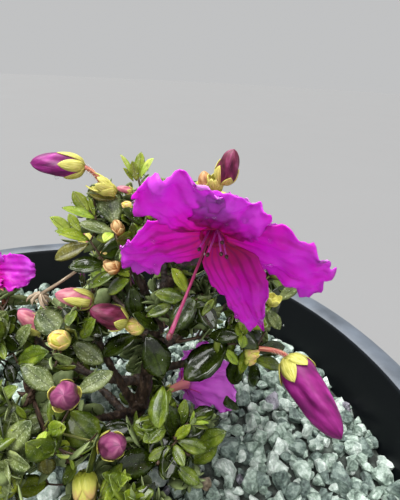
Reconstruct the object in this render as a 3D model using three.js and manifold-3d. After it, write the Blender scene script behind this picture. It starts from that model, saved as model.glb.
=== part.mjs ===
// Dwarf evergreen rhododendron in bud and flower, growing in grit in a round black nursery pot.
// Units are millimetres, +Z is up, and the front of the plant looks towards -Y.
// The origin is on the pot's axis at its flat underside.
// Each limb is a tapering solid, and each mass of foliage is one fused solid of twigs, leaves and blossom.
import * as THREE from 'three';
import { mergeVertices } from 'three/addons/utils/BufferGeometryUtils.js';
import Module from 'manifold-3d';

const wasm = await Module();
wasm.setup();

// Pot
const potHeight = 250;
const rimRadius = 163;
const rimWidth = 12;
const rimRounding = 2.5;
const skirtDrop = 26;
const skirtLean = 0.4;
const cornerShare = 0.3;
const wallThickness = 2.2;
const baseRadius = 122;
const floorThickness = 4;
const footRingWidth = 14;
const footRingHeight = 3;
const potSegments = 36;

// Filling
const gritDrop = 25.7;
const gritDepth = 16;
const gritRelief = 6;
const gritRings = 11;
const gritJitter = 0.2;
const lumpShares = [0, 0.3];
const hollowShares = [0.7, 1];
const levelRoundFoot = 15;
const mixSegments = 30;
const clearance = 0.3;

// Plant: where its foot stands in the pot, and the main stem
const footX = 33.6;
const footY = 12.5;
const stemBaseRadius = 3.5;
const stemTipRadius = 1.5;
const rootFlare = 3.2;
const rootFlareHeight = 5;
const footReach = 8.5;
const footDepth = 2;
const stemPath = [
  [0, 0, 0], [2, 0, 14], [6, 1, 27], [9, 2, 45], [12, 3, 64], [17, 5, 82],
];

// Limbs and twigs
const boughBaseRadius = 1.75;
const boughTipRadius = 1.0;
const limbSides = 6;
const boughSteps = 5;
const boughEndShare = 0.42;
const boughRise = 0.12;
const boughStartShare = 0.8;
const boughStartStep = 0.1;
const sproutRadius = 1;
const sproutGap = 0.45;
const stemSteps = 12;
const twigBaseRadius = 0.85;
const twigTipRadius = 0.6;
const stalkRadius = 0.7;

// Leaves
const leafLength = 15;
const leafWidthShare = 0.48;
const shortLeaf = 0.7;
const leafLengths = [0.8, 1.12];
const leafWidest = 0.52;
const leafOpening = [0.9, 1.45];
const whorlJitter = 0.03;
const leavesInWhorl = 6;
const hubThickness = 1.6;
const notchRadius = 1.4;
const knotRadius = 1.7;
const limbMargin = 0.4;
const leavesClearOfGrit = 3;
const reachSlack = 1.25;
const cellShares = [0.2, 0.8];
const shootSpread = 1.25;
const shootLift = 0.3;
const shootJitter = 0.7;
const shootReaches = [0.5, 0.68];
const blossomMargin = 0.5;
const goldenAngle = Math.PI * (3 - Math.sqrt(5));

// Blossom
const tubeLength = 15;
const flowerFootOverlap = 0.6;
const tubeBaseRadius = 1.3;
const throatRadius = 4.2;
const lobeWidthShare = 0.39;
const petalThickness = 0.8;
const lobeSunk = 0.6;
const lobeInset = 0.8;
const lobeRoundFrom = 0.5;
const lobeRoundPower = 2.4;
const lobeFootWidth = 0.45;
const lobeSplit = 0.9;
const lobeColumns = 2;
const lobeRows = 3;

// The open flowers: throat, facing direction, and for each lobe its bearing, length and forward rise
const openFlowers = {
  front: {
    throat: [29, -22, 109],
    facing: [-0.15, -0.89, -0.43],
    up: [0.12, -0.45, 0.89],
    lobes: [[122, 27, 8], [46, 21, 4], [7, 28, 5], [-61, 30, 9], [-143, 27, 4]],
  },
  low: {
    throat: [25, 26, 17],
    facing: [0.55, 0.8, 0.18],
    up: [-0.1, -0.15, 0.98],
    lobes: [[90, 18, 9], [18, 19, 9], [-54, 20, 9], [-126, 18, 9], [162, 18, 9]],
  },
  left: {
    throat: [-46, 15, 76],
    facing: [-0.5, -0.8, 0.3],
    up: [0.1, 0.3, 0.95],
    lobes: [[90, 20, 5], [18, 21, 4], [-54, 21, 4], [-126, 21, 4], [162, 21, 4]],
  },
  back: {
    throat: [40, 56, 76],
    facing: [0.35, 0.85, 0.4],
    up: [-0.1, -0.4, 0.9],
    lobes: [[90, 22, 5], [18, 23, 4], [-54, 23, 4], [-126, 23, 4], [162, 22, 4]],
  },
};

// Each mass of foliage: its heart, its reach, how many shoots it has, its seed,
// and the height on the main stem that its bough leaves from (none where the stem's own tip carries it)
const masses = [
  { name: 'crown_top', heart: [27, 8, 93], reach: 18, shoots: 6, seed: 238 },
  { name: 'crown_upper_left', heart: [0, 6, 95], reach: 21, shoots: 9, seed: 212, from: 68 },
  { name: 'crown_back_top', heart: [12, 33, 88], reach: 22, shoots: 6, seed: 220, from: 73 },
  { name: 'crown_left', heart: [-10, -6, 70], reach: 20, shoots: 9, seed: 218, from: 28 },
  { name: 'crown_far_left', heart: [-42, 4, 58], reach: 22, shoots: 7, seed: 223, from: 38, sag: 12 },
  { name: 'crown_left_back', heart: [-14, 33, 60], reach: 21, shoots: 7, seed: 229, from: 56 },
  { name: 'crown_left_low', heart: [-34, 26, 32], reach: 20, shoots: 6, seed: 239, from: 18 },
  { name: 'crown_front_left', heart: [-19, -26, 44], reach: 22, shoots: 9, seed: 235, from: 25 },
  { name: 'crown_front_low', heart: [4, -36, 22], reach: 19, shoots: 7, seed: 221, from: 11 },
  { name: 'crown_front_right', heart: [19, -17, 31], reach: 17, shoots: 7, seed: 226, from: 16 },
  { name: 'crown_centre', heart: [20, -9, 66], reach: 21, shoots: 9, seed: 232, from: 58 },
  { name: 'crown_right', heart: [43, -3, 60], reach: 18, shoots: 8, seed: 231, from: 44 },
  { name: 'crown_right_back', heart: [49, 24, 68], reach: 20, shoots: 7, seed: 215, from: 52 },
  { name: 'crown_back', heart: [16, 44, 54], reach: 20, shoots: 5, seed: 232, from: 47 },
  { name: 'crown_low_back', heart: [8, 26, 24], reach: 17, shoots: 4, seed: 206, from: 7 },
];

// Blossom still in bud, one row each: mass, foot of the bud, its tip, its radius
const buds = [
  { mass: 'crown_top', foot: [32, 2, 115], tip: [34, 0, 125], radius: 3.4 },
  { mass: 'crown_top', foot: [26, 4, 112], tip: [25, 4, 118], radius: 1.9 },
  { mass: 'crown_upper_left', foot: [-9, 4, 118], tip: [-24, 2, 119], radius: 3.6 },
  { mass: 'crown_upper_left', foot: [1, 1, 100], tip: [0, 0, 106], radius: 1.6 },
  { mass: 'crown_upper_left', foot: [1, -2, 88], tip: [-3, -4, 91], radius: 1.8 },
  { mass: 'crown_left', foot: [-8, -2, 75], tip: [-20, -3, 78], radius: 3.5 },
  { mass: 'crown_left', foot: [3, -5, 70], tip: [-7, -9, 77], radius: 3.9 },
  { mass: 'crown_left', foot: [-15, -11, 66], tip: [-17, -16, 72], radius: 3.3 },
  { mass: 'crown_far_left', foot: [-29, 2, 58], tip: [-36, 2, 67], radius: 3.2 },
  { mass: 'crown_front_left', foot: [-12, -23, 55], tip: [-9, -31, 64], radius: 4.4 },
  { mass: 'crown_front_left', foot: [0, -26, 38], tip: [6, -32, 46], radius: 4.2 },
  { mass: 'crown_front_low', foot: [-6, -31, 31], tip: [-4, -38, 23], radius: 3.3 },
  { mass: 'crown_right', foot: [57, -6, 60], tip: [74, -25, 45], radius: 6.2 },
  { mass: 'crown_right_back', foot: [60, 30, 80], tip: [68, 36, 92], radius: 3.6 },
  { mass: 'crown_back', foot: [16, 56, 66], tip: [15, 66, 74], radius: 3.6 },
  { mass: 'crown_left_back', foot: [-22, 44, 72], tip: [-30, 50, 80], radius: 3.4 },
  { mass: 'crown_left_low', foot: [-46, 32, 38], tip: [-56, 37, 42], radius: 3.4 },
];

// The flower of each mass that bears one
const flowerOf = {
  crown_top: 'front',
  crown_low_back: 'low',
  crown_far_left: 'left',
  crown_back: 'back',
};

// The withered flower stalk on the left, with its dry seed head
const deadStalk = { mass: 'crown_upper_left', foot: [-8, 3, 87], tip: [-25, -2, 77], head: [-27, -3, 70] };
const deadHeadRadius = 2.6;

// A bud's section as shares of its radius and length
const budSection = [[0, 0], [0.6, 0.1], [1, 0.42], [0.72, 0.78], [0, 1]];
const budSides = 6;

// Material of each kind of sub-part
const finishes = {
  pot: { color: 0x17191b, roughness: 0.45, metalness: 0 },
  mix: { color: 0x2e2219, roughness: 0.95, metalness: 0 },
  grit: { color: 0x9aaba3, roughness: 0.85, metalness: 0 },
  bark: { color: 0x33261f, roughness: 0.85, metalness: 0 },
  foliage: { color: 0x4c6b2c, roughness: 0.5, metalness: 0 },
};

// Plain helpers

const mix = (a, b, share) => a + (b - a) * share;
const smooth = (t) => { const c = Math.min(Math.max(t, 0), 1); return c * c * (3 - 2 * c); };
const vector = (p) => new THREE.Vector3(p[0], p[1], p[2]);

// Seeded draws between 0 and 1, the same on every run
function draws(seed) {
  let state = seed * 7919 + 13;
  return () => {
    state = (state * 16807) % 2147483647;
    return state / 2147483647;
  };
}

// Two directions square to a given one, the first of them level where it can be
function across(direction) {
  const reference = Math.abs(direction.z) > 0.95 ? new THREE.Vector3(1, 0, 0) : new THREE.Vector3(0, 0, 1);
  const side = reference.clone().cross(direction).normalize();
  return [side, direction.clone().cross(side)];
}

// A closed geometry as a solid that can be joined and cut
function solidOf(geometry) {
  const bare = geometry.clone();
  bare.deleteAttribute('normal');
  bare.deleteAttribute('uv');
  const merged = mergeVertices(bare);
  return new wasm.Manifold(new wasm.Mesh({
    numProp: 3,
    vertProperties: Float32Array.from(merged.attributes.position.array),
    triVerts: Uint32Array.from(merged.index.array),
  }));
}

function geometryOf(solid) {
  const mesh = solid.getMesh();
  const geometry = new THREE.BufferGeometry();
  geometry.setAttribute('position', new THREE.BufferAttribute(mesh.vertProperties, 3));
  geometry.setIndex(new THREE.BufferAttribute(mesh.triVerts, 1));
  return geometry;
}

// The largest connected body of a fused solid: loose scraps are dropped and sealed hollows filled
function mainBody(solid) {
  return solid.decompose().reduce((best, body) => (body.volume() > best.volume() ? body : best));
}

const join = (solids) => solids.reduce((whole, solid) => whole.add(solid));
const touches = (a, b) => a.intersect(b).volume() > 1e-6;

// Pot and filling

// Outer radius of the pot's wall at a height
function wallRadius(z) {
  return mix(baseRadius, rimRadius - rimWidth + wallThickness, z / potHeight);
}

// The pot's section: wall, floor on a foot ring, and a rounded rim with its skirt turned down outside
function potGeometry() {
  const inside = (z) => wallRadius(z) - wallThickness;
  const top = potHeight;
  const innerEdge = rimRadius - rimWidth;
  const section = [
    [0, footRingHeight], [baseRadius - footRingWidth, footRingHeight], [baseRadius - footRingWidth, 0],
    [baseRadius, 0], [wallRadius(top - wallThickness * 2), top - wallThickness * 2],
    [rimRadius - wallThickness, top - wallThickness * 2], [rimRadius - wallThickness, top - skirtDrop],
    [rimRadius - skirtLean, top - skirtDrop], [rimRadius, top - rimRounding],
    [rimRadius - rimRounding * cornerShare, top - rimRounding * cornerShare], [rimRadius - rimRounding, top],
    [innerEdge + rimRounding, top], [innerEdge + rimRounding * cornerShare, top - rimRounding * cornerShare],
    [innerEdge, top - rimRounding], [inside(top - gritDrop), top - gritDrop],
    [inside(footRingHeight + floorThickness), footRingHeight + floorThickness],
    [0, footRingHeight + floorThickness],
  ];
  return latheUp(section, potSegments);
}

// A section of radius and height pairs turned round the vertical axis
function latheUp(section, segments) {
  const points = section.map(([r, z]) => new THREE.Vector2(r, z));
  const geometry = new THREE.LatheGeometry(points, segments);
  geometry.rotateX(Math.PI / 2);
  return geometry;
}

// The body of potting mix under the grit
function mixGeometry() {
  const low = footRingHeight + floorThickness + clearance;
  const high = potHeight - gritDrop - gritDepth - clearance;
  const reach = (z) => wallRadius(z) - wallThickness - clearance * 2;
  return latheUp([[0, low], [reach(low), low], [reach(high), high], [0, high]], mixSegments);
}

// The layer of grit: lumps and hollows alternate round the rings of its top, as its biggest stones do,
// and it is level round the stem's foot. Ring k has 6k points, and the last ring's points stand on the rim
// of the underside.
function gritGeometry() {
  const low = potHeight - gritDrop - gritDepth;
  const high = potHeight - gritDrop - clearance;
  const reach = (z) => wallRadius(z) - wallThickness - clearance * 3;
  const step = reach(high - gritRelief) / gritRings;
  const draw = draws(5);
  const points = [];
  for (let ring = 0; ring <= gritRings; ring += 1) {
    const free = ring < gritRings ? gritJitter * step : 0;
    for (let k = 0; k < Math.max(ring * 6, 1); k += 1) {
      const turn = ring > 0 ? (k / (ring * 6)) * Math.PI * 2 : 0;
      const x = Math.cos(turn) * step * ring + (draw() * 2 - 1) * free;
      const y = Math.sin(turn) * step * ring + (draw() * 2 - 1) * free;
      const shares = (k + ring) % 2 === 0 ? lumpShares : hollowShares;
      const fromFoot = Math.hypot(x - footX, y - footY);
      points.push([x, y, high - gritRelief * mix(...shares, draw()) * smooth(fromFoot / levelRoundFoot - 1)]);
    }
  }
  const faces = [];
  const start = (ring) => (ring > 0 ? 1 + 3 * ring * (ring - 1) : 0);
  for (let ring = 1; ring <= gritRings; ring += 1) {
    const outer = (k) => start(ring) + (k % (ring * 6));
    const inner = (k) => (ring > 1 ? start(ring - 1) + (k % ((ring - 1) * 6)) : 0);
    for (let side = 0; side < 6; side += 1) {
      for (let k = 0; k < ring; k += 1) {
        const near = side * (ring - 1) + k;
        faces.push([inner(near), outer(side * ring + k), outer(side * ring + k + 1)]);
        if (k < ring - 1) faces.push([inner(near), outer(side * ring + k + 1), inner(near + 1)]);
      }
    }
  }
  const count = gritRings * 6;
  const edge = start(gritRings);
  const under = points.length;
  for (let k = 0; k < count; k += 1) {
    const turn = (k / count) * Math.PI * 2;
    const after = (k + 1) % count;
    points.push([Math.cos(turn) * reach(low), Math.sin(turn) * reach(low), low]);
    faces.push([edge + k, under + k, edge + after], [edge + after, under + k, under + after]);
    faces.push([under + k, under + count, under + after]);
  }
  points.push([0, 0, low]);
  const geometry = new THREE.BufferGeometry();
  geometry.setAttribute('position', new THREE.Float32BufferAttribute(points.flat(), 3));
  geometry.setIndex(faces.flat());
  return geometry;
}

// A round limb that follows a curve, with its radius given along it
function limbGeometry(curve, radiusAt, steps) {
  const geometry = new THREE.CylinderGeometry(1, 1, 1, limbSides, steps);
  const frames = curve.computeFrenetFrames(steps, false);
  const place = geometry.attributes.position;
  for (let i = 0; i < place.count; i += 1) {
    const share = place.getY(i) + 0.5;
    const ring = Math.round(share * steps);
    const radius = radiusAt(share);
    const point = curve.getPointAt(share);
    point.addScaledVector(frames.normals[ring], place.getX(i) * radius);
    point.addScaledVector(frames.binormals[ring], -place.getZ(i) * radius);
    place.setXYZ(i, point.x, point.y, point.z);
  }
  return geometry;
}

const stemCurve = new THREE.CatmullRomCurve3(stemPath.map(vector));

function stemRadius(share) {
  const rise = share * stemPath[stemPath.length - 1][2];
  return mix(stemBaseRadius, stemTipRadius, share) + rootFlare * Math.exp(-rise / rootFlareHeight);
}

// The main stem, cut level at the grit
function stemGeometry(extra = 0) {
  const geometry = limbGeometry(stemCurve, (share) => stemRadius(share) + extra, stemSteps);
  const place = geometry.attributes.position;
  for (let i = 0; i < place.count; i += 1) {
    const inFoot = Math.hypot(place.getX(i), place.getY(i)) < footReach && place.getZ(i) < footDepth;
    if (inFoot) place.setZ(i, 0);
  }
  return geometry;
}

// The share of the stem's length at which it reaches a height
function stemShareAt(height) {
  let share = 0;
  while (share < 1 && stemCurve.getPointAt(share).z < height) share += 0.002;
  return Math.min(share, 1);
}

// A bough's curve: out of the stem's side, then turning up towards the mass it carries
function boughCurve(mass, offset) {
  const axis = stemCurve.getPointAt(stemShareAt(mass.from));
  const heart = vector(mass.heart);
  const outward = heart.clone().sub(axis).normalize();
  const level = new THREE.Vector3(outward.x, outward.y, 0).normalize();
  const start = axis.clone().addScaledVector(level, offset);
  const end = heart.clone().addScaledVector(outward, -mass.reach * boughEndShare);
  const bend = start.clone().lerp(end, 0.5);
  bend.z += (start.z - end.z) * boughRise - (mass.sag || 0);
  return new THREE.QuadraticBezierCurve3(start, bend, end);
}

const boughRadius = (share) => mix(boughBaseRadius, boughTipRadius, share);

function boughGeometry(curve, extra = 0) {
  return limbGeometry(curve, (share) => boughRadius(share) + extra, boughSteps);
}

// The curve of each bough, started just far enough out to stand clear of the stem's bark
function clearCurves() {
  const bark = solidOf(stemGeometry(clearance));
  const curves = new Map();
  for (const mass of masses.filter((row) => row.from)) {
    let offset = stemRadius(stemShareAt(mass.from)) * boughStartShare;
    let curve = boughCurve(mass, offset);
    while (touches(solidOf(boughGeometry(curve)), bark)) {
      offset += boughStartStep;
      curve = boughCurve(mass, offset);
    }
    curves.set(mass.name, curve);
  }
  return curves;
}

// Twigs and leaves

// A three-sided tapering twig between two points
function twigSolid(from, to, startRadius = twigBaseRadius, endRadius = twigTipRadius) {
  const direction = to.clone().sub(from);
  const length = direction.length();
  const geometry = new THREE.CylinderGeometry(endRadius, startRadius, length, 3, 1);
  const turn = new THREE.Quaternion().setFromUnitVectors(new THREE.Vector3(0, 1, 0), direction.normalize());
  geometry.applyQuaternion(turn);
  geometry.translate((from.x + to.x) / 2, (from.y + to.y) / 2, (from.z + to.z) / 2);
  return solidOf(geometry);
}

// The swelling that a mass's twigs grow from
function knotSolid(place) {
  const geometry = new THREE.OctahedronGeometry(knotRadius, 0);
  geometry.translate(place.x, place.y, place.z);
  return solidOf(geometry);
}

// The room that one flat leaf takes, to test it against its neighbours
function leafSolid(leaf) {
  const geometry = new THREE.OctahedronGeometry(1, 0);
  const side = leaf.up.clone().cross(leaf.along).normalize();
  const face = leaf.along.clone().cross(side);
  const middle = leaf.root.clone().addScaledVector(leaf.along, leaf.length / 2);
  const frame = new THREE.Matrix4().makeBasis(
    leaf.along.clone().multiplyScalar(leaf.length / 2),
    side.multiplyScalar(leaf.length * leafWidthShare / 2),
    face.multiplyScalar(hubThickness / 2),
  );
  geometry.applyMatrix4(frame.setPosition(middle));
  return solidOf(geometry);
}

// The direction square to a shoot at a turn round it
function radialAt(direction, turn) {
  const [side, rise] = across(direction);
  return side.multiplyScalar(Math.cos(turn)).addScaledVector(rise, Math.sin(turn));
}

// The leaves of a whorl round the tip of a shoot, each as root, turn, direction, upper side and length
function whorl(tip, direction, draw) {
  const leaves = [];
  for (let i = 0; i < leavesInWhorl; i += 1) {
    const turn = (i / leavesInWhorl + draw() * whorlJitter) * Math.PI * 2;
    const open = mix(...leafOpening, draw());
    const radial = radialAt(direction, turn);
    const along = radial.clone().multiplyScalar(Math.sin(open)).addScaledVector(direction, Math.cos(open));
    const up = direction.clone().multiplyScalar(Math.sin(open)).addScaledVector(radial, -Math.cos(open));
    leaves.push({ root: tip.clone(), turn, along, up, length: leafLength * mix(...leafLengths, draw()) });
  }
  return leaves;
}

// A leaf's tip and its two widest points, ahead of and behind it round the shoot
function leafCorners(leaf) {
  const side = leaf.up.clone().cross(leaf.along).normalize().multiplyScalar(leaf.length * leafWidthShare / 2);
  const middle = leaf.root.clone().addScaledVector(leaf.along, leaf.length * leafWidest);
  const tip = leaf.root.clone().addScaledVector(leaf.along, leaf.length);
  return [tip, middle.clone().add(side), middle.clone().sub(side)];
}

// A whorl as one star: a flat ball whose rim is laid along the leaves' edges and the notches between
function whorlSolid(shoot, leaves) {
  const rim = [];
  leaves.forEach((leaf, i) => {
    const next = leaves[(i + 1) % leaves.length];
    const wrap = i + 1 < leaves.length ? 0 : Math.PI * 2;
    const [tip, ahead, behind] = leafCorners(leaf);
    const notch = radialAt(shoot.direction, (leaf.turn + next.turn + wrap) / 2);
    rim.push(behind, tip, ahead, shoot.tip.clone().addScaledVector(notch, notchRadius));
  });
  const geometry = new THREE.SphereGeometry(1, rim.length, 2);
  const { position, uv } = geometry.attributes;
  for (let i = 0; i < position.count; i += 1) {
    const height = position.getY(i);
    const pole = shoot.tip.clone().addScaledVector(shoot.direction, Math.sign(height) * hubThickness / 2);
    const place = Math.abs(height) > 0.5 ? pole : rim[Math.round(uv.getX(i) * rim.length) % rim.length];
    position.setXYZ(i, place.x, place.y, place.z);
  }
  return solidOf(geometry);
}

// The shoots of a mass: from its heart by the golden angle, more of them outwards and upwards
function shootsOf(mass, plantHeart) {
  const draw = draws(mass.seed);
  const heart = vector(mass.heart);
  const outward = heart.clone().sub(plantHeart).normalize();
  const [side, rise] = across(outward);
  const shoots = [];
  for (let i = 0; i < mass.shoots; i += 1) {
    const level = 1 - shootSpread * ((i + 0.5) / mass.shoots);
    const spread = Math.sqrt(1 - level * level);
    const turn = i * goldenAngle + draw() * shootJitter;
    const direction = outward.clone().multiplyScalar(level)
      .addScaledVector(side, Math.cos(turn) * spread)
      .addScaledVector(rise, Math.sin(turn) * spread);
    direction.z += shootLift;
    direction.normalize();
    const tip = heart.clone().addScaledVector(direction, mass.reach * mix(...shootReaches, draw()));
    shoots.push({ tip, direction, leaves: whorl(tip, direction, draw) });
  }
  return shoots;
}

// Blossom

// A point of a flower's lobe in the flower's own frame: u runs across the lobe, t from throat to tip
function lobePoint(lobe, u, t) {
  const half = u < 0 ? lobe.halfBefore : lobe.halfAfter;
  const radius = mix(throatRadius - lobeSunk, lobe.length, t);
  const height = mix(-lobeInset, lobe.rise, 1 - (1 - t) ** 2);
  const nearEnd = Math.max(0, (t - lobeRoundFrom) / (1 - lobeRoundFrom));
  const roundEnd = Math.sqrt(Math.max(0, 1 - nearEnd ** lobeRoundPower));
  const ownWidth = lobe.length * lobeWidthShare * smooth(lobeFootWidth + t);
  const halfWidth = Math.min(ownWidth, radius * Math.sin(half) * lobeSplit);
  const offset = u * halfWidth * roundEnd;
  const chord = Math.sqrt(Math.max(0, radius * radius - offset * offset));
  const reach = mix(chord, radius, smooth(t / lobeRoundFrom));
  const cosine = Math.cos(lobe.bearing);
  const sine = Math.sin(lobe.bearing);
  return new THREE.Vector3(reach * cosine - offset * sine, reach * sine + offset * cosine, height);
}

// Lobes with their half angles to the neighbours on each side
function lobesOf(flower) {
  const rows = flower.lobes.map(([bearing, length, rise]) => ({ bearing, length, rise }));
  rows.sort((a, b) => a.bearing - b.bearing);
  return rows.map((row, k) => {
    const before = rows[(k + rows.length - 1) % rows.length].bearing;
    const after = rows[(k + 1) % rows.length].bearing;
    const gap = (degrees) => THREE.MathUtils.degToRad(((degrees % 360) + 360) % 360) / 2;
    return {
      bearing: THREE.MathUtils.degToRad(row.bearing),
      length: row.length,
      rise: row.rise,
      halfBefore: gap(row.bearing - before),
      halfAfter: gap(after - row.bearing),
    };
  });
}

// One lobe as a closed thin shell, from a box whose two big faces are laid on the lobe's surface
function lobeSolid(lobe, thickness) {
  const geometry = new THREE.BoxGeometry(2, 1, 1, lobeColumns, lobeRows, 1);
  const place = geometry.attributes.position;
  for (let i = 0; i < place.count; i += 1) {
    const u = place.getX(i);
    const t = Math.min(place.getY(i) + 0.5, 0.97);
    const point = lobePoint(lobe, u, t);
    const along = lobePoint(lobe, u, t + 0.01).sub(lobePoint(lobe, u, t - 0.01));
    const sideways = lobePoint(lobe, u + 0.02, t).sub(lobePoint(lobe, u - 0.02, t));
    const normal = sideways.cross(along).normalize();
    point.addScaledVector(normal, place.getZ(i) * thickness);
    place.setXYZ(i, point.x, point.y, point.z);
  }
  return solidOf(geometry);
}

// A whole open flower in the plant's frame
function flowerSolid(flower, thickness = petalThickness) {
  const tube = new THREE.CylinderGeometry(throatRadius, tubeBaseRadius, tubeLength, 8, 1);
  tube.rotateX(Math.PI / 2);
  tube.translate(0, 0, -tubeLength / 2);
  const whole = join([solidOf(tube), ...lobesOf(flower).map((lobe) => lobeSolid(lobe, thickness))]);
  const out = vector(flower.facing).normalize();
  const right = vector(flower.up).cross(out).normalize();
  const up = out.clone().cross(right);
  const frame = new THREE.Matrix4().makeBasis(right, up, out).setPosition(vector(flower.throat));
  return solidOf(geometryOf(whole).applyMatrix4(frame));
}

function flowerFoot(flower) {
  const out = vector(flower.facing).normalize();
  return vector(flower.throat).addScaledVector(out, flowerFootOverlap - tubeLength);
}

// A closed bud, pointed at its tip
function budSolid(foot, tip, radius) {
  const length = foot.distanceTo(tip);
  const points = budSection.map(([r, s]) => new THREE.Vector2(r * radius, s * length));
  const geometry = new THREE.LatheGeometry(points, budSides);
  const direction = tip.clone().sub(foot).normalize();
  geometry.applyQuaternion(new THREE.Quaternion().setFromUnitVectors(new THREE.Vector3(0, 1, 0), direction));
  geometry.translate(foot.x, foot.y, foot.z);
  return solidOf(geometry);
}

// Masses of foliage

const plantHeart = new THREE.Vector3(8, 6, 45);

// Whether every point stays in a mass's own space: within its reach, nearer to it than to any other
// mass, and above the grit
function inSpace(mass, points) {
  const heart = vector(mass.heart);
  return points.every((point) => {
    if (point.z < leavesClearOfGrit || point.distanceTo(heart) > mass.reach * reachSlack) return false;
    return masses.every((other) => {
      if (other === mass) return true;
      const towards = vector(other.heart).sub(heart);
      const gap = towards.length();
      const share = 0.5 + (mass.reach ** 2 - other.reach ** 2) / (2 * gap * gap);
      const plane = gap * THREE.MathUtils.clamp(share, ...cellShares);
      return point.clone().sub(heart).dot(towards) / gap < plane - clearance;
    });
  });
}

// The blossom of a mass: flowers and buds, each with the stalk that ties it to the heart
function blossomOf(mass, margin = 0) {
  const heart = vector(mass.heart);
  const parts = [];
  if (flowerOf[mass.name]) {
    const flower = openFlowers[flowerOf[mass.name]];
    parts.push(flowerSolid(flower, petalThickness + margin));
    parts.push(twigSolid(heart, flowerFoot(flower), stalkRadius + margin, stalkRadius + margin));
  }
  for (const bud of buds.filter((row) => row.mass === mass.name)) {
    const foot = vector(bud.foot);
    const inner = foot.clone().lerp(vector(bud.tip), 0.15);
    parts.push(budSolid(foot, vector(bud.tip), bud.radius + margin));
    parts.push(twigSolid(heart, inner, stalkRadius + margin, stalkRadius + margin));
  }
  if (deadStalk.mass === mass.name) {
    const tip = vector(deadStalk.tip);
    const head = vector(deadStalk.head);
    parts.push(twigSolid(heart, vector(deadStalk.foot), stalkRadius + margin, stalkRadius + margin));
    parts.push(twigSolid(vector(deadStalk.foot), tip, stalkRadius + margin, stalkRadius + margin));
    parts.push(budSolid(tip.clone().lerp(head, -0.15), head, deadHeadRadius + margin));
  }
  return parts;
}

// One mass: its stem from the bough's tip to the heart, its shoots, leaves and blossom, fused
function massSolid(mass, limbCurve, keepOut) {
  const heart = vector(mass.heart);
  const carrier = limbCurve.getPointAt(1);
  const towards = heart.clone().sub(carrier).normalize();
  const root = carrier.clone().addScaledVector(towards, sproutGap);
  const parts = [knotSolid(heart), twigSolid(root, heart, sproutRadius, twigBaseRadius)];
  parts.push(...blossomOf(mass));
  let whole = join(parts);
  for (const shoot of shootsOf(mass, plantHeart)) {
    const twig = twigSolid(heart, shoot.tip);
    if (!inSpace(mass, [shoot.tip]) || touches(twig, keepOut)) continue;
    const fits = (leaf) => {
      if (!inSpace(mass, leafCorners(leaf))) return false;
      const solid = leafSolid(leaf);
      return !touches(solid, keepOut) && !touches(solid, whole);
    };
    const kept = shoot.leaves.map((leaf) => [leaf, { ...leaf, length: leaf.length * shortLeaf }].find(fits))
      .filter((leaf) => leaf);
    if (kept.length > 1) whole = join([whole, twig, whorlSolid(shoot, kept)]);
  }
  return mainBody(whole);
}

// Assembly

function meshOf(name, geometry, finish) {
  const mesh = new THREE.Mesh(geometry, new THREE.MeshStandardMaterial(finishes[finish]));
  mesh.name = name;
  return mesh;
}

function plantGroup() {
  const group = new THREE.Group();
  group.position.set(footX, footY, potHeight - gritDrop);
  group.add(meshOf('main_stem', stemGeometry(), 'bark'));
  const curves = clearCurves();
  for (const [name, curve] of curves) {
    group.add(meshOf(name.replace('crown', 'bough'), boughGeometry(curve), 'bark'));
  }
  const boughs = [...curves.values()].map((curve) => boughGeometry(curve, limbMargin));
  const limbs = [stemGeometry(limbMargin), ...boughs].map(solidOf);
  const blossoms = new Map(masses.map((mass) => [mass.name, blossomOf(mass, blossomMargin)]));
  for (const mass of masses) {
    const others = masses.filter((other) => other !== mass).flatMap((other) => blossoms.get(other.name));
    const keepOut = join([...limbs, ...others]);
    const solid = massSolid(mass, curves.get(mass.name) || stemCurve, keepOut);
    group.add(meshOf(mass.name, geometryOf(solid), 'foliage'));
  }
  return group;
}

const pottedPlant = new THREE.Group();
pottedPlant.add(meshOf('pot', potGeometry(), 'pot'));
pottedPlant.add(meshOf('potting_mix', mixGeometry(), 'mix'));
pottedPlant.add(meshOf('grit_layer', gritGeometry(), 'grit'));
pottedPlant.add(plantGroup());

export default pottedPlant;
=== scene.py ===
"""Looks of a dwarf evergreen rhododendron in a black nursery pot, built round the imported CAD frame.

Lengths are millimetres and become metres where a mesh is made. The plant and the stones are in the
plant's own frame, whose origin is the foot of the stem at the grit, the pot and the bed in the CAD frame.
"""

import math
from collections import namedtuple

import bmesh
import bpy
import numpy as np
from mathutils import Matrix, Quaternion, Vector, noise
from mathutils.bvhtree import BVHTree


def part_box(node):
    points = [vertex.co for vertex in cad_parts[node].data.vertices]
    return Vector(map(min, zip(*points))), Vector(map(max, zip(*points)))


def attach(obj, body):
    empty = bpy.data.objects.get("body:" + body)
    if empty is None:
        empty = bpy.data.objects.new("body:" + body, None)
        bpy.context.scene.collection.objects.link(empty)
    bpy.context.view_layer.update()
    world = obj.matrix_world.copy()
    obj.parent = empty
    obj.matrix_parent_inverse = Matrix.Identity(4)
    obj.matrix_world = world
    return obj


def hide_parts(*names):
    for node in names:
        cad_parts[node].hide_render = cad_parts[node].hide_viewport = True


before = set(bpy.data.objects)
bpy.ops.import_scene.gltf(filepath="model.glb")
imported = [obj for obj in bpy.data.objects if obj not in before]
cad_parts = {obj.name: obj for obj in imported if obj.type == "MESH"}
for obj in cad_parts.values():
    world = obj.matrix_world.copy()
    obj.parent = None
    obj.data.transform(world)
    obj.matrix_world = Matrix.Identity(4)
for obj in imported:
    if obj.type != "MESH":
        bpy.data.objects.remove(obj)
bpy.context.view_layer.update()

bl_info = {
    "name": "Potted dwarf rhododendron",
    "version": (1, 0, 0),
    "blender": (4, 5, 0),
    "location": "3D View > Sidebar > Rhododendron",
    "description": "Builds a dwarf rhododendron in bud and flower, with its grit and its pot",
    "category": "Add Mesh",
}

MM = 0.001
TURN = 2 * math.pi
GOLDEN_ANGLE = math.pi * (3 - math.sqrt(5))

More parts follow.
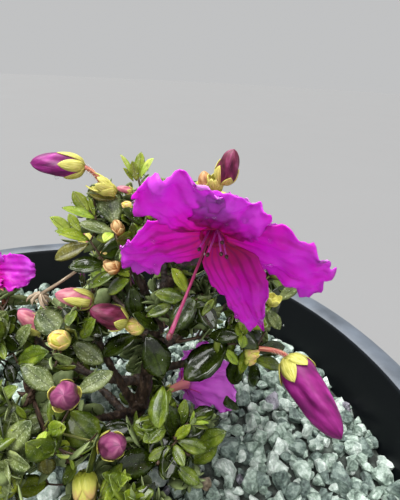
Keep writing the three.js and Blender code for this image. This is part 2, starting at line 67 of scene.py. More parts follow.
# Seeds of the random draws; SPRAY_SEED is added to a mass's own seed and SHADE_SEED to its number
GRIT_SEED = 9001
SPRAY_SEED = 5000
SHADE_SEED = 6100
TWIG_SEED = 4400
STAMEN_SEED = 60
BUD_SEED = 808
DEAD_SEED = 77
DROP_SEED = 515

# The plant's own level lies this far above the highest point of the grit layer
FOOT_OVER_GRIT = 0.3

# The pot's rim, the grit's level and the plant's foot, from the frame
POT_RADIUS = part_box("pot")[1].x / MM
POT_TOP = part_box("pot")[1].z / MM
GRIT_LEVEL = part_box("grit_layer")[1].z / MM + FOOT_OVER_GRIT
FOOT = np.array([33.6, 12.5, GRIT_LEVEL])
PLANT_HEART = Vector((8, 6, 45))

# The camera that sees the pot's rim as the photograph does: place in metres, angles in degrees
CAMERA_PLACE = (0.05964, -0.0924, 0.370)
CAMERA_PITCH = 25.8
CAMERA_ROLL = 3.0
CAMERA_LENS = 27.04
CAMERA_SENSOR = 36.0
VIEWED_FROM = Vector(CAMERA_PLACE) / MM - Vector(FOOT)

# Where the leading leaves turn their upper sides
LIGHT_SIDE = Vector((0, -0.5, 0.87))

# The main stem's line, the radii of stem and boughs, and how far a bough reaches and rises
STEM_PATH = [(0, 0, 0), (2, 0, 14), (6, 1, 27), (9, 2, 45), (12, 3, 64), (17, 5, 82)]
STEM_BASE_RADIUS = 3.5
STEM_TIP_RADIUS = 1.5
ROOT_FLARE = 3.2
ROOT_FLARE_HEIGHT = 5
BOUGH_BASE_RADIUS = 1.75
BOUGH_TIP_RADIUS = 1.0
BOUGH_END_SHARE = 0.42
BOUGH_RISE = 0.12
BOUGH_STEPS = 12

# How finely the stem's line is measured
STEM_SAMPLES = 200
STEM_SHARE_STEP = 0.002

# The branching rule of the foliage, with the source's values
LEAVES_CLEAR_OF_GRIT = 3
REACH_SLACK = 1.25
CELL_SHARES = (0.2, 0.8)
CLEARANCE = 0.3
SHOOT_SPREAD = 1.25
SHOOT_LIFT = 0.3
SHOOT_JITTER = 0.7
SHOOT_REACHES = (0.5, 0.68)
LEAVES_IN_WHORL = 6
LEAF_WIDTH_SHARE = 0.48
LEAF_LENGTHS = (0.8, 1.12)
LEAF_OPENING = (0.9, 1.45)
LEAF_WIDEST = 0.52
SHORT_LEAF = 0.7
WHORL_JITTER = 0.03

# The share of its drawn length that a full-grown leaf of a spray keeps
LEAF_SHARE = 0.88

# Masses of foliage: heart, reach, shoots, seed, height on the stem that the bough leaves from, sag of
# the bough, and how many sprays in ten or so take each of the LEAF_KINDS
LEAF_KINDS = ("dark", "green", "grey", "bright", "bronze")
Mass = namedtuple("Mass", "heart reach shoots seed height sag shades")
MASSES = {name: Mass(*row) for name, row in {
    "crown_top": ((27, 8, 93), 18, 6, 238, None, 0, (2, 4, 1, 1, 1)),
    "crown_upper_left": ((0, 6, 95), 21, 9, 212, 68, 0, (1, 4, 3, 3, 1)),
    "crown_back_top": ((12, 33, 88), 22, 6, 220, 73, 0, (2, 4, 2, 1, 1)),
    "crown_left": ((-10, -6, 70), 20, 9, 218, 28, 0, (3, 4, 3, 0, 0)),
    "crown_far_left": ((-42, 4, 58), 22, 7, 223, 38, 12, (1, 3, 5, 1, 0)),
    "crown_left_back": ((-14, 33, 60), 21, 7, 229, 56, 0, (2, 4, 2, 1, 1)),
    "crown_left_low": ((-34, 26, 32), 20, 6, 239, 18, 0, (2, 3, 2, 1, 2)),
    "crown_front_left": ((-19, -26, 44), 22, 9, 235, 25, 0, (3, 3, 4, 1, 0)),
    "crown_front_low": ((4, -36, 22), 19, 7, 221, 11, 0, (2, 4, 1, 3, 1)),
    "crown_front_right": ((19, -17, 31), 17, 7, 226, 16, 0, (4, 5, 0, 0, 1)),
    "crown_centre": ((20, -9, 66), 21, 9, 232, 58, 0, (6, 3, 0, 0, 1)),
    "crown_right": ((43, -3, 60), 18, 8, 231, 44, 0, (4, 4, 1, 0, 0)),
    "crown_right_back": ((49, 24, 68), 20, 7, 215, 52, 0, (2, 4, 2, 1, 1)),
    "crown_back": ((16, 44, 54), 20, 5, 232, 47, 0, (2, 4, 2, 1, 1)),
    "crown_low_back": ((8, 26, 24), 17, 4, 206, 7, 0, (3, 4, 1, 0, 1)),
}.items()}

# Old leaves tried in the lower part of the masses that stand in shade
SHADE_LEAVES = {
    "crown_front_low": 130, "crown_front_left": 150, "crown_left_low": 100, "crown_left": 40,
    "crown_far_left": 40, "crown_front_right": 40, "crown_low_back": 30, "crown_left_back": 30,
    "crown_back": 30, "crown_centre": 40, "crown_right": 20, "crown_right_back": 20,
}

# Open flowers: throat, facing, upward direction, the mass that bears it, and its lobes. A lobe has a
# bearing, length, rise, its half widths clockwise and counter-clockwise at LOBE_STATIONS, its roll and
# its backward curl
LOBE_STATIONS = (0.0, 0.12, 0.35, 0.6, 0.8, 1.0)
LOBE_FOOT = 2.2
ROUND = (5.6, 6.8, 9.0, 8.8, 4.5)
NARROW = (4.6, 5.5, 6.5, 5.8, 3.0)
BROAD = (5.6, 7.6, 11.6, 13.0, 8.5)
TONGUE = (5, 6, 7.0, 6.4, 4)
Flower = namedtuple("Flower", "throat facing up mass lobes")
FLOWERS = {name: Flower(*row) for name, row in {
    "front": ((29, -22, 109), (-0.15, -0.89, -0.43), (0.12, -0.45, 0.89), "crown_top", [
        (122, 24.2, 6.2, (8.5, 10.2, 10.0, 8.8, 6.4), (6.5, 6.2, 7.4, 10.2, 9.0), 0.06, 1.0),
        (75, 19.4, 5.5, (6.5, 6.0, 6.2, 6.6, 6.4), (6.5, 8.2, 9.0, 10.0, 10.6), 0.07, 1.0),
        (5, 29.0, 5, (6.5, 6.0, 6.4, 9.4, 12.0), (7.5, 13.4, 12.6, 8.4, 4.0), 0.05, 1.5),
        (-52, 34.0, 8, (6.4, 5.0, 3.8, 4.0, 2.6), (9.0, 10.5, 6.5, 3.9, 0.8), 0.0, 1.5),
        (-150, 26.4, 4, (9.5, 12.4, 8.6, 6.0, 3.4), (5.8, 5.0, 4.6, 6.4, 9.6), -0.03, 1.5)]),
    "low": ((23.3, 24.3, 15.2), (0.685, 0.685, -0.25), (-0.1, -0.15, 0.98), "crown_low_back", [
        (100, 22, 8, ROUND, BROAD, 0.0, 1), (28, 14, 7, NARROW, ROUND, 0.0, 1),
        (-44, 14, 7, NARROW, NARROW, 0.0, 1), (-116, 15, 7, ROUND, ROUND, 0.0, 1),
        (172, 24, 8, BROAD, ROUND, 0.0, 1)]),
    "left": ((-54, 15, 75), (0.25, -0.87, 0.42), (0, 0.45, 0.9), "crown_far_left", [
        (0, 19, 5, TONGUE, TONGUE, 0.0, 1), (72, 9.5, 4, NARROW, ROUND, 0.0, 1),
        (144, 16, 5, ROUND, ROUND, 0.0, 1), (-144, 16, 5, ROUND, ROUND, 0.0, 1),
        (-72, 9.5, 4, ROUND, NARROW, 0.0, 1)]),
    "back": ((40, 56, 76), (0.35, 0.85, 0.4), (-0.1, -0.4, 0.9), "crown_back", [
        (bearing, 22.5, 5, ROUND, ROUND, 0.0, 1.5) for bearing in (90, 18, -54, -126, 162)]),
}.items()}
TUBE_LENGTH = 15
THROAT_RADIUS = 2.9
FLOWER_FOOT_OVERLAP = 0.6
STYLE_TIPS = {"front": (-4.1, -4.4, 24.8)}
OTHER_STYLE_TIP = (1.5, -4.0, 18)
ANTHER_PLACES = [(-0.7, 4.3, 9.0), (1.8, 5.3, 9.0), (2.0, 7.2, 6.5), (-2.2, 2.8, 6.5), (3.6, 3.6, 7.0)]

# Closed buds: mass, foot, tip, radius, colour, and the share of the bud that green sepals clasp
BUDS = [
    ("crown_top", (31.6, 2, 116), (34, 0, 126.2), 3.3, "wine", 0.45),
    ("crown_top", (26.6, 4, 112.8), (26, 4, 118.8), 2.1, "brown", 0.5),
    ("crown_upper_left", (-9, 4, 118), (-24, 2, 119), 3.7, "violet", 0.4),
    ("crown_upper_left", (1, 1, 98), (0, 0, 103.6), 1.8, "brown", 0.0),
    ("crown_upper_left", (1, -2, 88), (-3, -4, 91), 2.4, "brown", 0.0),
    ("crown_left", (-8, -2, 75), (-20, -3, 78), 3.4, "rose", 0.6),
    ("crown_left", (3, -5, 70), (-7, -9, 77), 4.1, "wine", 0.45),
    ("crown_left", (-15, -11, 65.5), (-17.3, -16, 71), 2.75, "yellow", 0.0),
    ("crown_far_left", (-29, 2, 58), (-36, 2, 67), 3.2, "rose", 0.5),
    ("crown_front_left", (-12, -23, 55), (-9, -31, 64), 4.3, "plum", 0.4),
    ("crown_front_left", (0, -26, 38), (6, -32, 46), 4.1, "plum", 0.45),
    ("crown_front_low", (-6, -31, 32.5), (-4, -38, 23.5), 3.4, "yellow", 0.0),
    ("crown_right", (57, -6, 60), (72.6, -25, 44.8), 6.4, "violet", 0.24),
    ("crown_right", (43, -7, 61), (47, -9, 63), 1.9, "yellow", 0.0),
    ("crown_right", (43, -6, 58), (47, -7, 58), 1.7, "yellow", 0.0),
    ("crown_left", (8, -3, 66), (3, -6, 70), 2.5, "yellow", 0.0),
    ("crown_upper_left", (4.5, 5, 111.3), (0, 4, 112.2), 1.2, "rose", 0.3),
    ("crown_upper_left", (4.6, 2, 107), (2.6, 0, 108.8), 1.2, "yellow", 0.0),
    ("crown_upper_left", (-2, -2, 93.2), (-3.6, -4.4, 94.4), 0.9, "yellow", 0.0),
    ("crown_right_back", (55, 29, 71), (65, 34, 79), 3.6, "rose", 0.5),
    ("crown_back", (16, 56, 66), (15, 66, 74), 3.6, "plum", 0.5),
    ("crown_left_back", (-22, 44, 72), (-30, 50, 80), 3.4, "rose", 0.5),
    ("crown_left_low", (-46, 32, 38), (-56, 37, 42), 3.4, "plum", 0.5),
]

# The withered flower stalk on the left with its dry seed head, and an old dark husk
DEAD_MASS = "crown_upper_left"
DEAD_STALK = [(-8, 3, 87), (-14, 2, 84), (-20, 0, 80), (-25, -2, 77)]
DEAD_HEAD = (-27, -3, 70)
OLD_HUSK = (-26, -17, 48)
HUSK_MASS = "crown_front_left"

# Tufts of yellow scales where flowers and shoots break: place, direction, length of a scale
SCALE_TUFTS = [
    ((0, 3, 111), (-0.8, -0.2, 0.5), 9), ((10, 13, 17), (0.6, 0.6, 0.1), 6),
    ((30, 3, 113), (-0.1, -0.2, 1), 6), ((51, 4, 74), (0.2, -0.3, 0.8), 5),
]

# Shoots that stand clear above the leaves: foot and tip
YOUNG_SHOOTS = [((5, 6, 104), (6.2, 5.4, 115))]

# Leading leaves in their own places: root, tip, roll, width in parts of the length, and kind
LEADING_LEAVES = [
    ((5.2, 5, 115.5), (1.7, 5, 122.3), 0.2, 0.24, "young"),
    ((6.2, 7, 114.6), (6.7, 8, 122.6), 0.0, 0.4, "bright"),
    ((7.2, 5, 115), (11.2, 4.5, 121.6), -0.2, 0.44, "young"),
    ((6.1, 4.4, 114.6), (5.6, 2.5, 120.4), 0.0, 0.44, "bright"),
    ((5, 5, 114.2), (2.6, 4, 118.6), 0.3, 0.42, "bright"),
    ((7.2, 4.6, 114), (9.4, 3, 117.6), -0.4, 0.42, "bright"),
    ((0, 0, 102), (-3, 5, 110.5), 0.1, 0.78, "grey"), ((-6, 1, 103), (-14, -1, 109), 0.3, 0.42, "young"),
    ((-9, 5, 103), (-14, 6, 110), -0.2, 0.5, "bright"), ((-7, 3, 103), (-8, 5, 109), 0.9, 0.4, "young"),
    ((-14, 3, 96), (-20, 1, 103), 0.2, 0.5, "young"), ((-12, 4, 97), (-16, 5, 103), -0.3, 0.45, "bright"),
    ((-8, 0, 96), (-17, -3, 101), 0.3, 0.5, "bright"), ((0, -2, 100), (-9, -4, 105), 0.2, 0.52, "grey"),
    ((-9, 2, 94), (-20, 0, 89), -0.2, 0.45, "bronze"), ((-3, -2, 89), (-13, -6, 92), 0.1, 0.62, "dark"),
    ((1, -4, 88), (-8, -7, 84), 0.2, 0.5, "green"), ((-11, 2, 86), (-14, 1, 78), 0.4, 0.6, "dark"),
    ((0, 4, 109), (-8, 2, 111), -0.4, 0.5, "bronze"), ((-7, 2, 80), (-12, 1, 73), 0.2, 0.6, "grey"),
    ((5, -5, 86), (-3, -5, 81), 0.1, 0.62, "green"), ((5, -4, 83), (8, -8, 73), -0.2, 0.6, "dark"),
    ((10, -7, 74), (18, -6, 78), 0.3, 0.45, "green"), ((23, -6, 80), (14, -9, 85), -0.2, 0.5, "green"),
    ((23, -5, 82), (18, -3, 90), 0.3, 0.5, "bright"), ((9, -1, 103), (4, -3, 109), 0.1, 0.6, "dark"),
    ((11, 0, 104), (8, 0, 110), -0.3, 0.4, "bright"), ((-17, -8, 65), (-25, -5, 74), 0.1, 0.78, "grey"),
    ((-5, -10, 75), (-10, -13, 69), 0.2, 0.75, "green"), ((-36, -6, 55), (-31, -4, 66), -0.2, 0.5, "grey"),
    ((-34, -8, 53), (-21, -11, 61), 0.2, 0.45, "green"), ((-14, -9, 64), (-3, -13, 60), 0.0, 0.55, "grey"),
    ((7, -5, 65), (-5, -10, 60), 0.1, 0.5, "dark"), ((10, -6, 66), (17, -13, 54), -0.1, 0.66, "dark"),
    ((37, -5, 63), (23, -13, 54), 0.1, 0.6, "dark"), ((-10, -20, 53), (0, -17, 60), 0.1, 0.48, "grey"),
    ((-30, -13, 57), (-18, -18, 52), 0.0, 0.52, "grey"), ((-29, -12, 55), (-20, -12, 56), 0.4, 0.5, "grey"),
    ((-17, -20, 43), (-28, -25, 40), 0.1, 0.55, "grey"), ((-14, -20, 45), (-3, -28, 39), 0.1, 0.75, "green"),
    ((-4, -20, 36), (6, -19, 38), 0.1, 0.6, "dark"), ((16, -24, 30), (4, -31, 35), 0.0, 0.62, "dark"),
    ((21, -20, 35), (18, -17, 47), 0.3, 0.48, "dark"), ((23, -18, 38), (23, -16, 47), -0.3, 0.45, "green"),
    ((22, -22, 36), (32, -23, 34), 0.0, 0.5, "green"), ((22, -26, 30), (30, -30, 26), 0.2, 0.5, "green"),
    ((21, -22, 37), (26, -21, 43), 0.3, 0.45, "bright"), ((21, -23, 36), (24, -30, 37), 0.1, 0.5, "green"),
    ((20, -23, 35), (13, -27, 33), -0.3, 0.5, "green"), ((-20, -28, 20), (-28, -33, 26), 0.2, 0.62, "bright"),
    ((-19, -28, 25), (-19, -28, 34), 0.4, 0.6, "bronze"),
    ((-15, -28, 20), (-12, -27, 29), -0.3, 0.55, "green"),
    ((38, -6, 57), (34, -4, 68), 0.1, 0.72, "green"), ((41, -8, 57), (37, -8, 63), 0.3, 0.6, "young"),
    ((42, -7, 52), (44, -6, 62), -0.5, 0.45, "bright"), ((47, -1, 57), (59, 1, 59), 0.2, 0.45, "dark"),
    ((46, -3, 55), (58, -1, 51), -0.2, 0.45, "green"), ((45, -6, 57), (49, -8, 46), -0.2, 0.5, "dark"),
    ((43, -2, 57), (40, -2, 42), 0.2, 0.45, "dark"), ((50, 4, 72), (56, 0, 66), 0.2, 0.48, "grey"),
    ((50, 2, 59), (44, 1, 66), 0.2, 0.6, "dark"), ((54, 6, 74), (60, 5, 82), 0.2, 0.42, "grey"),
    ((28, -18, 29), (38, -18, 37), 0.1, 0.48, "green"), ((27, -20, 23), (34, -21, 32), 0.2, 0.52, "green"),
    ((26, -8, 82), (32, -13, 75), 0.1, 0.55, "dark"), ((30, -10, 70), (38, -14, 74), 0.2, 0.5, "dark"),
    ((28, -8, 66), (30, -14, 76), -0.2, 0.5, "dark"), ((14, -6, 68), (9, -10, 78), 0.3, 0.5, "dark"),
]

# Places that stay open to the front: what shows there through the foliage, with the opening's radius
OPEN_PLACES = [
    ((27, 28, 16), 13), ((33, 27, 8), 8), ((-25, 25, 99), 4), ((-14, 25, 111), 4), ((-3, 25, 108), 3),
    ((66, 20, 66), 3), ((57, 20, 101), 8), ((6, 7, 117), 5), ((12, 3, 62), 3), ((9, 2, 45), 5),
    ((7, 1, 33), 6), ((-4, -3, 26), 3), ((-12, 42, 0), 4.5), ((-19, 27, 0), 3), ((16, 70, 0), 7),
    ((56, 47, 0), 14), ((-44, 60, 51), 14), ((-56, 60, 47), 10), ((43, 30, 112), 16), ((2, 60, 56), 4),
    ((56, 40, 100), 12), ((72, -10, 58), 9),
    ((-24, -1, 98), 6), ((-46, 15, 76), 15), ((-29, 0, 74), 5), ((52, -6, 59), 3), ((-28, 4, 88), 8),
    ((46, -10, 12), 14), ((62, 20, 74), 8), ((-26, -17, 48), 4.5), ((71, 40, 39), 8), ((72, 40, 27), 6),
    ((62, 30, 40), 4), ((-20, 25, 105), 3.5),
]

# An opening runs towards the camera: how much of the way, and how much it narrows
OPEN_REACH = 0.72
OPEN_TAPER = 0.7


# Plain helpers

def mix(low, high, share):
    return low + (high - low) * share


def smooth(value):
    kept = min(max(value, 0.0), 1.0)
    return kept * kept * (3 - 2 * kept)


def draws(seed):
    """Seeded draws between 0 and 1, the same as the source's."""
    state = seed * 7919 + 13

    def draw():
        nonlocal state
        state = (state * 16807) % 2147483647
        return state / 2147483647

    return draw


def pick(options, draw):
    """One of some options, by a draw."""
    return options[int(draw() * len(options))]


def shake(draw):
    """A small vector with each part between -0.5 and 0.5, by three draws."""
    return Vector([draw() - 0.5 for _ in range(3)])


def across(direction):
    """Two directions square to a given one, the first of them level where it can be."""
    reference = Vector((1, 0, 0)) if abs(direction.z) > 0.95 else Vector((0, 0, 1))
    side = reference.cross(direction).normalized()
    return side, direction.cross(side)


def turned_from(direction, turn):
    """The direction square to a given one at a turn round it."""
    side, rise = across(direction)
    return side * math.cos(turn) + rise * math.sin(turn)


def leaning(direction, turn, lean):
    """A direction that leans away from a given one."""
    return (direction * math.cos(lean) + turned_from(direction, turn) * math.sin(lean)).normalized()


class Heap:
    """Points and faces of many small things that end as one mesh, with UVs and a material index."""

    def __init__(self):
        self.points, self.faces, self.uvs, self.marks = [], [], [], []
        self.count = 0

    def add(self, points, faces, uvs=None, mark=0):
        self.points.append(np.asarray(points, float).reshape(-1, 3))
        self.faces.extend(tuple(self.count + i for i in face) for face in faces)
        self.uvs.append(np.zeros((len(points), 2)) if uvs is None else np.asarray(uvs, float))
        self.marks.extend(mark if isinstance(mark, list) else [mark] * len(faces))
        self.count += len(points)

    def tree(self):
        return BVHTree.FromPolygons(np.concatenate(self.points).tolist(), self.faces)


def piece_from(name, heap, materials, replaced=()):
    """One piece of the object from a heap, in metres in the CAD frame, riding on the root."""
    mesh = bpy.data.meshes.new(name)
    points = (np.concatenate(heap.points) + FOOT) * MM
    mesh.from_pydata(points.tolist(), [], heap.faces)
    layer = mesh.uv_layers.new(name="UVMap")
    corners = np.zeros(len(mesh.loops), dtype=np.int64)
    mesh.loops.foreach_get("vertex_index", corners)
    layer.data.foreach_set("uv", np.concatenate(heap.uvs)[corners].ravel())
    for material in materials:
        mesh.materials.append(material)
    mesh.polygons.foreach_set("material_index", heap.marks)
    mesh.polygons.foreach_set("use_smooth", [True] * len(mesh.polygons))
    mesh.update()
    piece = bpy.data.objects.new(name, mesh)
    bpy.context.collection.objects.link(piece)
    settle(piece, replaced)
    return piece


def settle(piece, replaced=()):
    """Puts a finished piece on the frame."""
    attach(piece, "root")
    if replaced:
        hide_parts(*replaced)


def take(piece):
    """Makes a piece the only one selected, and active."""
    bpy.ops.object.select_all(action="DESELECT")
    piece.select_set(True)
    bpy.context.view_layer.objects.active = piece


def grid_faces(rows, columns, closed=False):
    """Quads of a grid of rows of points; a closed row joins its last point to its first."""
    width = columns if closed else columns + 1
    faces = []
    for r in range(rows):
        for c in range(columns):
            after = (c + 1) % width
            faces.append((r * width + c, r * width + after, (r + 1) * width + after, (r + 1) * width + c))
    return faces


def ball(place, radius, uneven=0.0, detail=2):
    """A small round lump."""
    made = bmesh.new()
    bmesh.ops.create_icosphere(made, subdivisions=detail, radius=radius)
    made.verts.index_update()
    points = [place + vert.co * (1 + uneven * noise.noise(vert.co * 1.3)) for vert in made.verts]
    faces = [tuple(vert.index for vert in face.verts) for face in made.faces]
    made.free()
    return points, faces


def tube(line, radii, sides):
    """A round tube along points with closed ends, and UVs of its turn and of its length in centimetres."""
    points, uvs = [], []
    normal = None
    length = 0.0
    for i, point in enumerate(line):
        ahead = (line[min(i + 1, len(line) - 1)] - line[max(i - 1, 0)]).normalized()
        normal = across(ahead)[0] if normal is None else (normal - ahead * normal.dot(ahead)).normalized()
        other = ahead.cross(normal)
        if i:
            length += (point - line[i - 1]).length
        for k in range(sides):
            turn = TURN * k / sides
            points.append(point + (normal * math.cos(turn) + other * math.sin(turn)) * radii[i])
            uvs.append((k / sides, length / 10))
    faces = grid_faces(len(line) - 1, sides, closed=True)
    faces.append(tuple(reversed(range(sides))))
    faces.append(tuple(range(len(points) - sides, len(points))))
    return points, faces, uvs


def bowed(first, last, bow, count):
    """Points from first to last, bowed sideways by a vector at the middle."""
    shares = [i / count for i in range(count + 1)]
    return [first.lerp(last, t) + bow * (4 * t * (1 - t)) for t in shares]


def end_of(line):
    """The last point of a line, and the direction in which it ends."""
    return line[-1], (line[-1] - line[-2]).normalized()


def arc(first, bend, last, count):
    """Points of the curve that leaves first towards bend and reaches last from there."""
    shares = [i / count for i in range(count + 1)]
    return [first * (1 - t) ** 2 + bend * 2 * t * (1 - t) + last * t * t for t in shares]


# Materials

def linear(hex_colour):
    """An sRGB hex value as linear red, green, blue and full alpha."""
    parts = [int(hex_colour[i:i + 2], 16) / 255 for i in (1, 3, 5)]
    return (*[p / 12.92 if p <= 0.04045 else ((p + 0.055) / 1.055) ** 2.4 for p in parts], 1.0)


def per_mm(size):
    """The scale of a noise on Object coordinates whose grains measure a size in millimetres."""
    return 1 / (size * MM)


def add_node(tree, kind, feeds=None, stops=(), **settings):
    """Adds a node with its settings and colour stops, and feeds its sockets with values and links."""
    made = tree.nodes.new(kind)
    for name, value in settings.items():
        setattr(made, name, value)
    for _ in stops[2:]:
        made.color_ramp.elements.new(0.5)
    for i, (place, colour) in enumerate(stops):
        made.color_ramp.elements[i].position = place
        made.color_ramp.elements[i].color = colour if isinstance(colour, tuple) else linear(colour)
    for socket, value in (feeds or {}).items():
        if isinstance(value, bpy.types.NodeSocket):
            tree.links.new(value, made.inputs[socket])
        else:
            made.inputs[socket].default_value = value
    return made


def start_material(name, **constants):
    """A material with a Principled shader, its constants set on the shader's own sockets."""
    material = bpy.data.materials.new(name)
    material.use_nodes = True
    shader = material.node_tree.nodes["Principled BSDF"]
    for label, value in constants.items():
        shader.inputs[label.replace("_", " ")].default_value = value
    return material, material.node_tree, shader.inputs


def grainy(name, stops, colour_mm, bump_mm, bump_depth, stretch=(1, 1, 1), strength=0.6, **constants):
    """A material with mottled colour, its bump from finer grains of the same kind."""
    material, tree, sockets = start_material(name, **constants)
    place = add_node(tree, "ShaderNodeTexCoord").outputs["Object"]
    place = add_node(tree, "ShaderNodeMapping", {"Vector": place, "Scale": stretch}).outputs["Vector"]
    mottle = add_node(tree, "ShaderNodeTexNoise", {
        "Vector": place, "Scale": per_mm(colour_mm), "Detail": 5.0, "Roughness": 0.62})
    colour = add_node(tree, "ShaderNodeValToRGB", {"Fac": mottle.outputs["Fac"]}, stops)
    grain = add_node(tree, "ShaderNodeTexNoise", {
        "Vector": place, "Scale": per_mm(bump_mm), "Detail": 4.0, "Roughness": 0.6})
    bump = add_node(tree, "ShaderNodeBump", {
        "Height": grain.outputs["Fac"], "Distance": bump_depth * MM, "Strength": strength})
    tree.links.new(colour.outputs["Color"], sockets["Base Color"])
    tree.links.new(bump.outputs["Normal"], sockets["Normal"])
    return material


def moulded_plastic():
    # Black polypropylene, injection moulded: satin, near black; what faces up is greyed by a dusty film and
    # by a painted sheen of the bright sky
    tints = bpy.context.scene.rhodo_colours
    material, tree, sockets = start_material("moulded black polypropylene", IOR=1.49)
    place = add_node(tree, "ShaderNodeTexCoord").outputs["Object"]
    film = add_node(tree, "ShaderNodeTexNoise", {"Vector": place, "Scale": per_mm(16), "Detail": 6.0})
    normal = add_node(tree, "ShaderNodeNewGeometry").outputs["Normal"]
    facing = add_node(tree, "ShaderNodeSeparateXYZ", {"Vector": normal})
    upward = add_node(tree, "ShaderNodeMapRange", {
        "Value": facing.outputs["Z"], "From Min": 0.3, "From Max": 0.9, "To Min": 0.0, "To Max": 0.75})
    # Painted sky sheen and a dusty film: faces that look up turn grey-blue
    dust_and_sheen = add_node(tree, "ShaderNodeMath", {
        0: upward.outputs["Result"], 1: film.outputs["Fac"]}, operation="MULTIPLY")
    colour = add_node(tree, "ShaderNodeValToRGB", {"Fac": dust_and_sheen.outputs["Value"]}, [
        (0.0, (*tints.plastic, 1)), (0.6, (*tints.plastic_dust_and_sky_sheen, 1))])
    gloss = add_node(tree, "ShaderNodeMapRange", {
        "Value": film.outputs["Fac"], "To Min": 0.32, "To Max": 0.55})
    # The wall is matt from handling, and the rim keeps its shine where it faces up
    shine = add_node(tree, "ShaderNodeMapRange", {
        "Value": facing.outputs["Z"], "From Min": 0.3, "From Max": 0.7, "To Min": 0.2, "To Max": 0.5})
    grain = add_node(tree, "ShaderNodeTexNoise", {"Vector": place, "Scale": per_mm(1.2), "Detail": 3.0})
    bump = add_node(tree, "ShaderNodeBump", {
        "Height": grain.outputs["Fac"], "Distance": 0.06 * MM, "Strength": 0.35})
    tree.links.new(colour.outputs["Color"], sockets["Base Color"])
    tree.links.new(gloss.outputs["Result"], sockets["Roughness"])
    tree.links.new(shine.outputs["Result"], sockets["Specular IOR Level"])
    tree.links.new(bump.outputs["Normal"], sockets["Normal"])
    return material


def leaf_skin(name, deep, body, pale, gloss, edge, silver, water):
    # An evergreen leaf's cuticle with fine pale hairs, wet in patches, with painted shade along its sunken
    # midrib
    material, tree, sockets = start_material(
        name, Roughness=gloss, IOR=1.45, Specular_IOR_Level=0.36, Coat_IOR=1.5, Coat_Roughness=0.04)
    uv = add_node(tree, "ShaderNodeUVMap", uv_map="UVMap").outputs["UV"]
    place = add_node(tree, "ShaderNodeTexCoord").outputs["Object"]
    part = add_node(tree, "ShaderNodeSeparateXYZ", {"Vector": uv}).outputs["X"]
    offset = add_node(tree, "ShaderNodeMath", {0: part, 1: 0.5}, operation="SUBTRACT").outputs["Value"]
    offset = add_node(tree, "ShaderNodeMath", {0: offset}, operation="ABSOLUTE").outputs["Value"]
    mottle = add_node(tree, "ShaderNodeTexNoise", {"Vector": place, "Scale": per_mm(5), "Detail": 5.0})
    body_colour = add_node(tree, "ShaderNodeValToRGB", {"Fac": mottle.outputs["Fac"]}, [
        (0.32, deep), (0.5, body), (0.72, pale)])
    # Painted shade along the sunken midrib, the leaf's own green on the blade, paler at the hairy edge
    shade = add_node(tree, "ShaderNodeValToRGB", {"Fac": offset}, [
        (0.0, "#b4b4a8"), (0.03, "#e2e2dc"), (0.06, "#ffffff"), (0.42, "#ffffff"), (0.5, edge)])
    blend = add_node(
        tree, "ShaderNodeMix", {0: 1.0, 6: body_colour.outputs["Color"], 7: shade.outputs["Color"]},
        data_type="RGBA", blend_type="MULTIPLY")
    # Fine silvery hairs that hold water, drawn at half a millimetre so that they show
    hairs = add_node(tree, "ShaderNodeTexNoise", {"Vector": place, "Scale": per_mm(0.5), "Detail": 2.0})
    share = add_node(tree, "ShaderNodeMapRange", {
        "Value": hairs.outputs["Fac"], "From Min": 0.55, "From Max": 0.75, "To Min": 0.0, "To Max": silver})
    hairy = add_node(tree, "ShaderNodeMix", {
        0: share.outputs["Result"], 6: blend.outputs[2], 7: linear("#d4dcb8")}, data_type="RGBA")
    film = add_node(tree, "ShaderNodeTexNoise", {"Vector": place, "Scale": per_mm(2), "Detail": 1.0})
    bump = add_node(tree, "ShaderNodeBump", {
        "Height": film.outputs["Fac"], "Distance": 0.3 * MM, "Strength": 0.6})
    # Rain lies on the blade in smooth patches that mirror the sky
    pool = add_node(tree, "ShaderNodeTexNoise", {"Vector": place, "Scale": per_mm(7), "Detail": 1.0})
    wet = add_node(tree, "ShaderNodeMapRange", {
        "Value": pool.outputs["Fac"], "From Min": 0.48, "From Max": 0.53, "To Min": 0.0, "To Max": water})
    tree.links.new(wet.outputs["Result"], sockets["Coat Weight"])
    tree.links.new(hairy.outputs[2], sockets["Base Color"])
    tree.links.new(bump.outputs["Normal"], sockets["Normal"])
    return material


